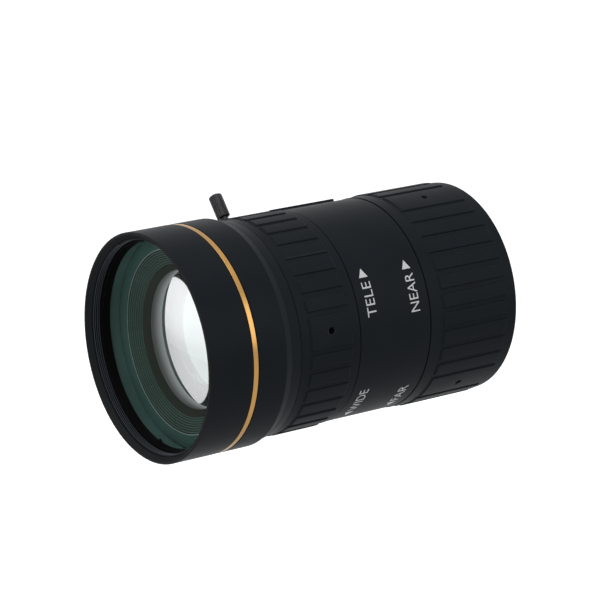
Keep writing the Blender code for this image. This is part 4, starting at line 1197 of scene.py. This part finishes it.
def make_rear_end():
    """The rear cover and the camera mount with its thread."""
    cover_front, mount_front = 0.0068, 0.0095
    corners = [
        (0.0367, cover_front, 0.0),
        (0.0367, 0.0041, 0.0002),
        (0.0340, 0.0041, 0.0003),
        (0.0300, COVER_REAR, 0.0004),
        (0.0158, COVER_REAR, 0.0002),
        (0.0158, 0.0033, 0.0),
        (0.0132, 0.0033, 0.0),
        (0.0132, cover_front, 0.0),
    ]
    cover = turned("rear_cover_shell", corners, barrel_black)
    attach(cover, "body")
    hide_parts("rear_cover")
    mount = [
        (0.0129, mount_front, 0.0),
        (0.0129, 0.0030, 0.0),
        (0.0155, 0.0030, 0.0),
        (0.0155, MOUNT_FLANGE, 0.0002),
        (MOUNT_THREAD, MOUNT_FLANGE, 0.0),
        (MOUNT_THREAD, MOUNT_END, 0.0002),
        (0.0105, MOUNT_END, 0.00015),
        (0.0089, 0.0010, 0.0001),
        (0.0089, 0.0030, 0.0),
        (0.0113, 0.0030, 0.0),
        (0.0113, mount_front, 0.0),
    ]
    ring = turned("mount_shell", mount, nickel, MOUNT_STEPS)
    start = MOUNT_END + 0.0004
    mesh = screw_thread("mount_thread", MOUNT_THREAD, MOUNT_PITCH, 3.6, 0.00026, start, nickel)
    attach(ring, "body")
    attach(piece_from(mesh, "mount_thread"), "body")
    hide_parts("camera_mount_ring")


# Lock screws


def knurl_tooth(name, root, crest, base, top):
    """One straight tooth of a screw's head, tapered at both ends."""
    tooth = bmesh.new()
    half = math.pi * root / SCREW_TEETH * 0.86
    buried, crest_round, flank = root - 0.0005, 0.00006, 0.3
    ends = (
        (base, root - 0.0004, 0.3),
        (base + 0.00035, crest, 1.0),
        (top - 0.00085, crest, 1.0),
        (top - 0.00045, root - 0.0001, 0.3),
    )
    rows = []
    for height, out, share in ends:
        sides = [(buried, -half), (out - crest_round, -flank * half * share), (out, 0.0)]
        sides += [(out - crest_round, flank * half * share), (buried, half)]
        rows.append([tooth.verts.new((x, y, height)) for x, y in sides])
    for first, second in zip(rows, rows[1:]):
        for index in range(len(first)):
            follow = (index + 1) % len(first)
            tooth.faces.new((first[index], first[follow], second[follow], second[index]))
    tooth.faces.new(rows[0][::-1])
    tooth.faces.new(rows[-1])
    return finish_mesh(tooth, name, 20.0)


def make_lock_screw(node, angle, station):
    """A screw with a straight-knurled head: its turned core and the teeth round it."""
    top, base, collar = 0.0529, 0.0433, 0.0399
    root, crest = 0.00222, 0.00250
    shank, neck = 0.0010, 0.0015
    place = radial(angle, station)
    corners = [
        (0.0, RING_BORE, 0.0),
        (shank - 0.0002, RING_BORE, 0.0),
        (shank, RING_BORE + 0.0003, 0.0),
        (shank, collar, 0.0),
        (neck, collar, 0.0001),
        (neck, base, 0.0),
        (root - 0.0003, base, 0.0),
        (root, base + 0.0004, 0.0001),
        (root, top - 0.0008, 0.0003),
        (0.0012, top - 0.00008, 0.0004),
        (0.0, top, 0.0),
    ]
    core_mesh = finish_mesh(spun(softened(corners), SCREW_STEPS, closed=False), node + "_core")
    core = piece_from(core_mesh, node + "_core", screw_black, place=place)
    tooth = knurl_tooth(node + "_tooth", root, crest, base, top)
    pitch = math.tau / SCREW_TEETH
    teeth = round_pattern(node + "_knurl", tooth, SCREW_TEETH, 0.0, pitch, screw_black)
    knurl = piece_from(teeth, node + "_knurl", place=place)
    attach(core, node)
    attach(knurl, node)
    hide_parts(node)


def dress_kept_nodes():
    """Gives each solid that stays in view its finish."""
    finishes = {
        "trap_black": trap_black,
        "inner_black": inner_black,
        "coated_glass": inner_glass,
        "steel": steel,
        "rubber": rubber,
        "satin_black_anodised": barrel_black,
        "grip_black_anodised": grip_black,
        "gold_anodised": gold_band,
        "screw_black": screw_black,
        "mount_metal": nickel,
    }
    slots = {part["node"]: part["material_slot"] for part in frame["record"]["subparts"]}
    for node, solid in frame["nodes"].items():
        solid.data.materials.clear()
        solid.data.materials.append(finishes[slots[node]])


# Studio and camera

LENS_MIDDLE = (0.0, -0.07, 0.0)
PHOTO_LENS = 168.45
PHOTO_PLACE = (0.7916, -RIM - 0.4935, 0.2980)


def make_studio():
    """A pale paper floor, a white surround and two soft lamps."""
    paper_shown, paper_mirrored, surround, surround_shown = 0.55, 0.4, 0.65, 0.35
    floor_reach, floor_height = 6.0, -0.16
    floor_shape = bmesh.new()
    bmesh.ops.create_grid(floor_shape, x_segments=1, y_segments=1, size=floor_reach)
    mesh = bpy.data.meshes.new("studio_floor")
    floor_shape.to_mesh(mesh)
    floor_shape.free()
    floor = bpy.data.objects.new("studio_floor", mesh)
    floor.location = (0.0, 0.0, floor_height)
    bpy.context.scene.collection.objects.link(floor)
    paper = bpy.data.materials.new("studio_paper")
    paper.use_nodes = True
    tree = paper.node_tree
    tree.nodes.clear()
    out = add(tree, "ShaderNodeOutputMaterial")
    matt = add(tree, "ShaderNodeBsdfDiffuse")
    matt.inputs["Color"].default_value = (0.80, 0.80, 0.80, 1.0)
    lift = add(tree, "ShaderNodeEmission")
    lift.inputs["Color"].default_value = (1.0, 1.0, 1.0, 1.0)
    path = add(tree, "ShaderNodeLightPath")
    mirrored = math_node(tree, "MULTIPLY", path.outputs["Is Glossy Ray"], paper_mirrored)
    seen = math_node(tree, "MAXIMUM", path.outputs["Is Camera Ray"], mirrored)
    seen = math_node(tree, "MAXIMUM", seen, path.outputs["Is Transmission Ray"])
    feed(tree, lift, Strength=math_node(tree, "MULTIPLY", seen, paper_shown))
    both = add(tree, "ShaderNodeAddShader")
    tree.links.new(matt.outputs[0], both.inputs[0])
    tree.links.new(lift.outputs[0], both.inputs[1])
    feed(tree, out, Surface=both.outputs[0])
    mesh.materials.append(paper)

    world = bpy.data.worlds.new("studio")
    bpy.context.scene.world = world
    world.use_nodes = True
    tree = world.node_tree
    background = tree.nodes["Background"]
    background.inputs["Color"].default_value = (1.0, 1.0, 1.0, 1.0)
    path = add(tree, "ShaderNodeLightPath")
    seen = math_node(tree, "MAXIMUM", path.outputs["Is Camera Ray"], path.outputs["Is Glossy Ray"])
    seen = math_node(tree, "MAXIMUM", seen, path.outputs["Is Transmission Ray"])
    level = math_node(tree, "MULTIPLY", seen, surround_shown)
    feed(tree, background, Strength=math_node(tree, "ADD", level, surround))

    add_softbox("top_softbox", (0.12, -0.22, 0.75), size=0.7, power=4.2)
    add_softbox("side_softbox", (0.8, 0.35, 0.35), size=0.6, power=2.0)


def add_softbox(name, place, size, power):
    """A square lamp that points at the middle of the lens."""
    lamp = bpy.data.lights.new(name, "AREA")
    lamp.shape = "SQUARE"
    lamp.size = size
    lamp.energy = power
    softbox = bpy.data.objects.new(name, lamp)
    softbox.location = place
    aim = Vector(LENS_MIDDLE) - Vector(place)
    softbox.rotation_euler = aim.to_track_quat("-Z", "Y").to_euler()
    bpy.context.scene.collection.objects.link(softbox)


def make_camera():
    """The photograph's view: a long lens in front, to the right and a little above."""
    right = Vector((0.57728, 0.81655, 0.0))
    up = Vector((-0.23526, 0.16632, 0.95760))
    back = Vector((0.78192, -0.55280, 0.28812))
    data = bpy.data.cameras.new("photo_camera")
    data.sensor_width = 36.0
    data.lens = PHOTO_LENS
    data.clip_start = 0.05
    camera = bpy.data.objects.new("photo_camera", data)
    turn = Matrix((right, up, back)).transposed().to_4x4()
    camera.matrix_world = Matrix.Translation(PHOTO_PLACE) @ turn
    bpy.context.scene.collection.objects.link(camera)
    bpy.context.scene.camera = camera


def main():
    make_camera()
    dress_kept_nodes()
    make_front_bezel()
    make_accent_band()
    make_front_barrel()
    make_front_retainer()
    make_front_glass()
    make_light_trap()
    make_second_glass()
    make_grip_ring(
        "zoom", "zoom_ring", ZOOM_FRONT, ZOOM_REAR, ZOOM_PADS, ZOOM_HOLE_ANGLE, ZOOM_HOLES
    )
    make_index_barrel()
    make_grip_ring(
        "focus", "focus_ring", FOCUS_FRONT, FOCUS_REAR, FOCUS_PADS, FOCUS_HOLE_ANGLE, FOCUS_HOLES
    )
    make_lettering()
    make_rear_end()
    make_lock_screw("zoom_lock_screw", ZOOM_HOLE_ANGLE + THIRD, ZOOM_HOLES)
    make_lock_screw("focus_lock_screw", FOCUS_HOLE_ANGLE + THIRD, FOCUS_HOLES)
    make_studio()


main()
bpy.context.scene.view_settings.view_transform = "Standard"
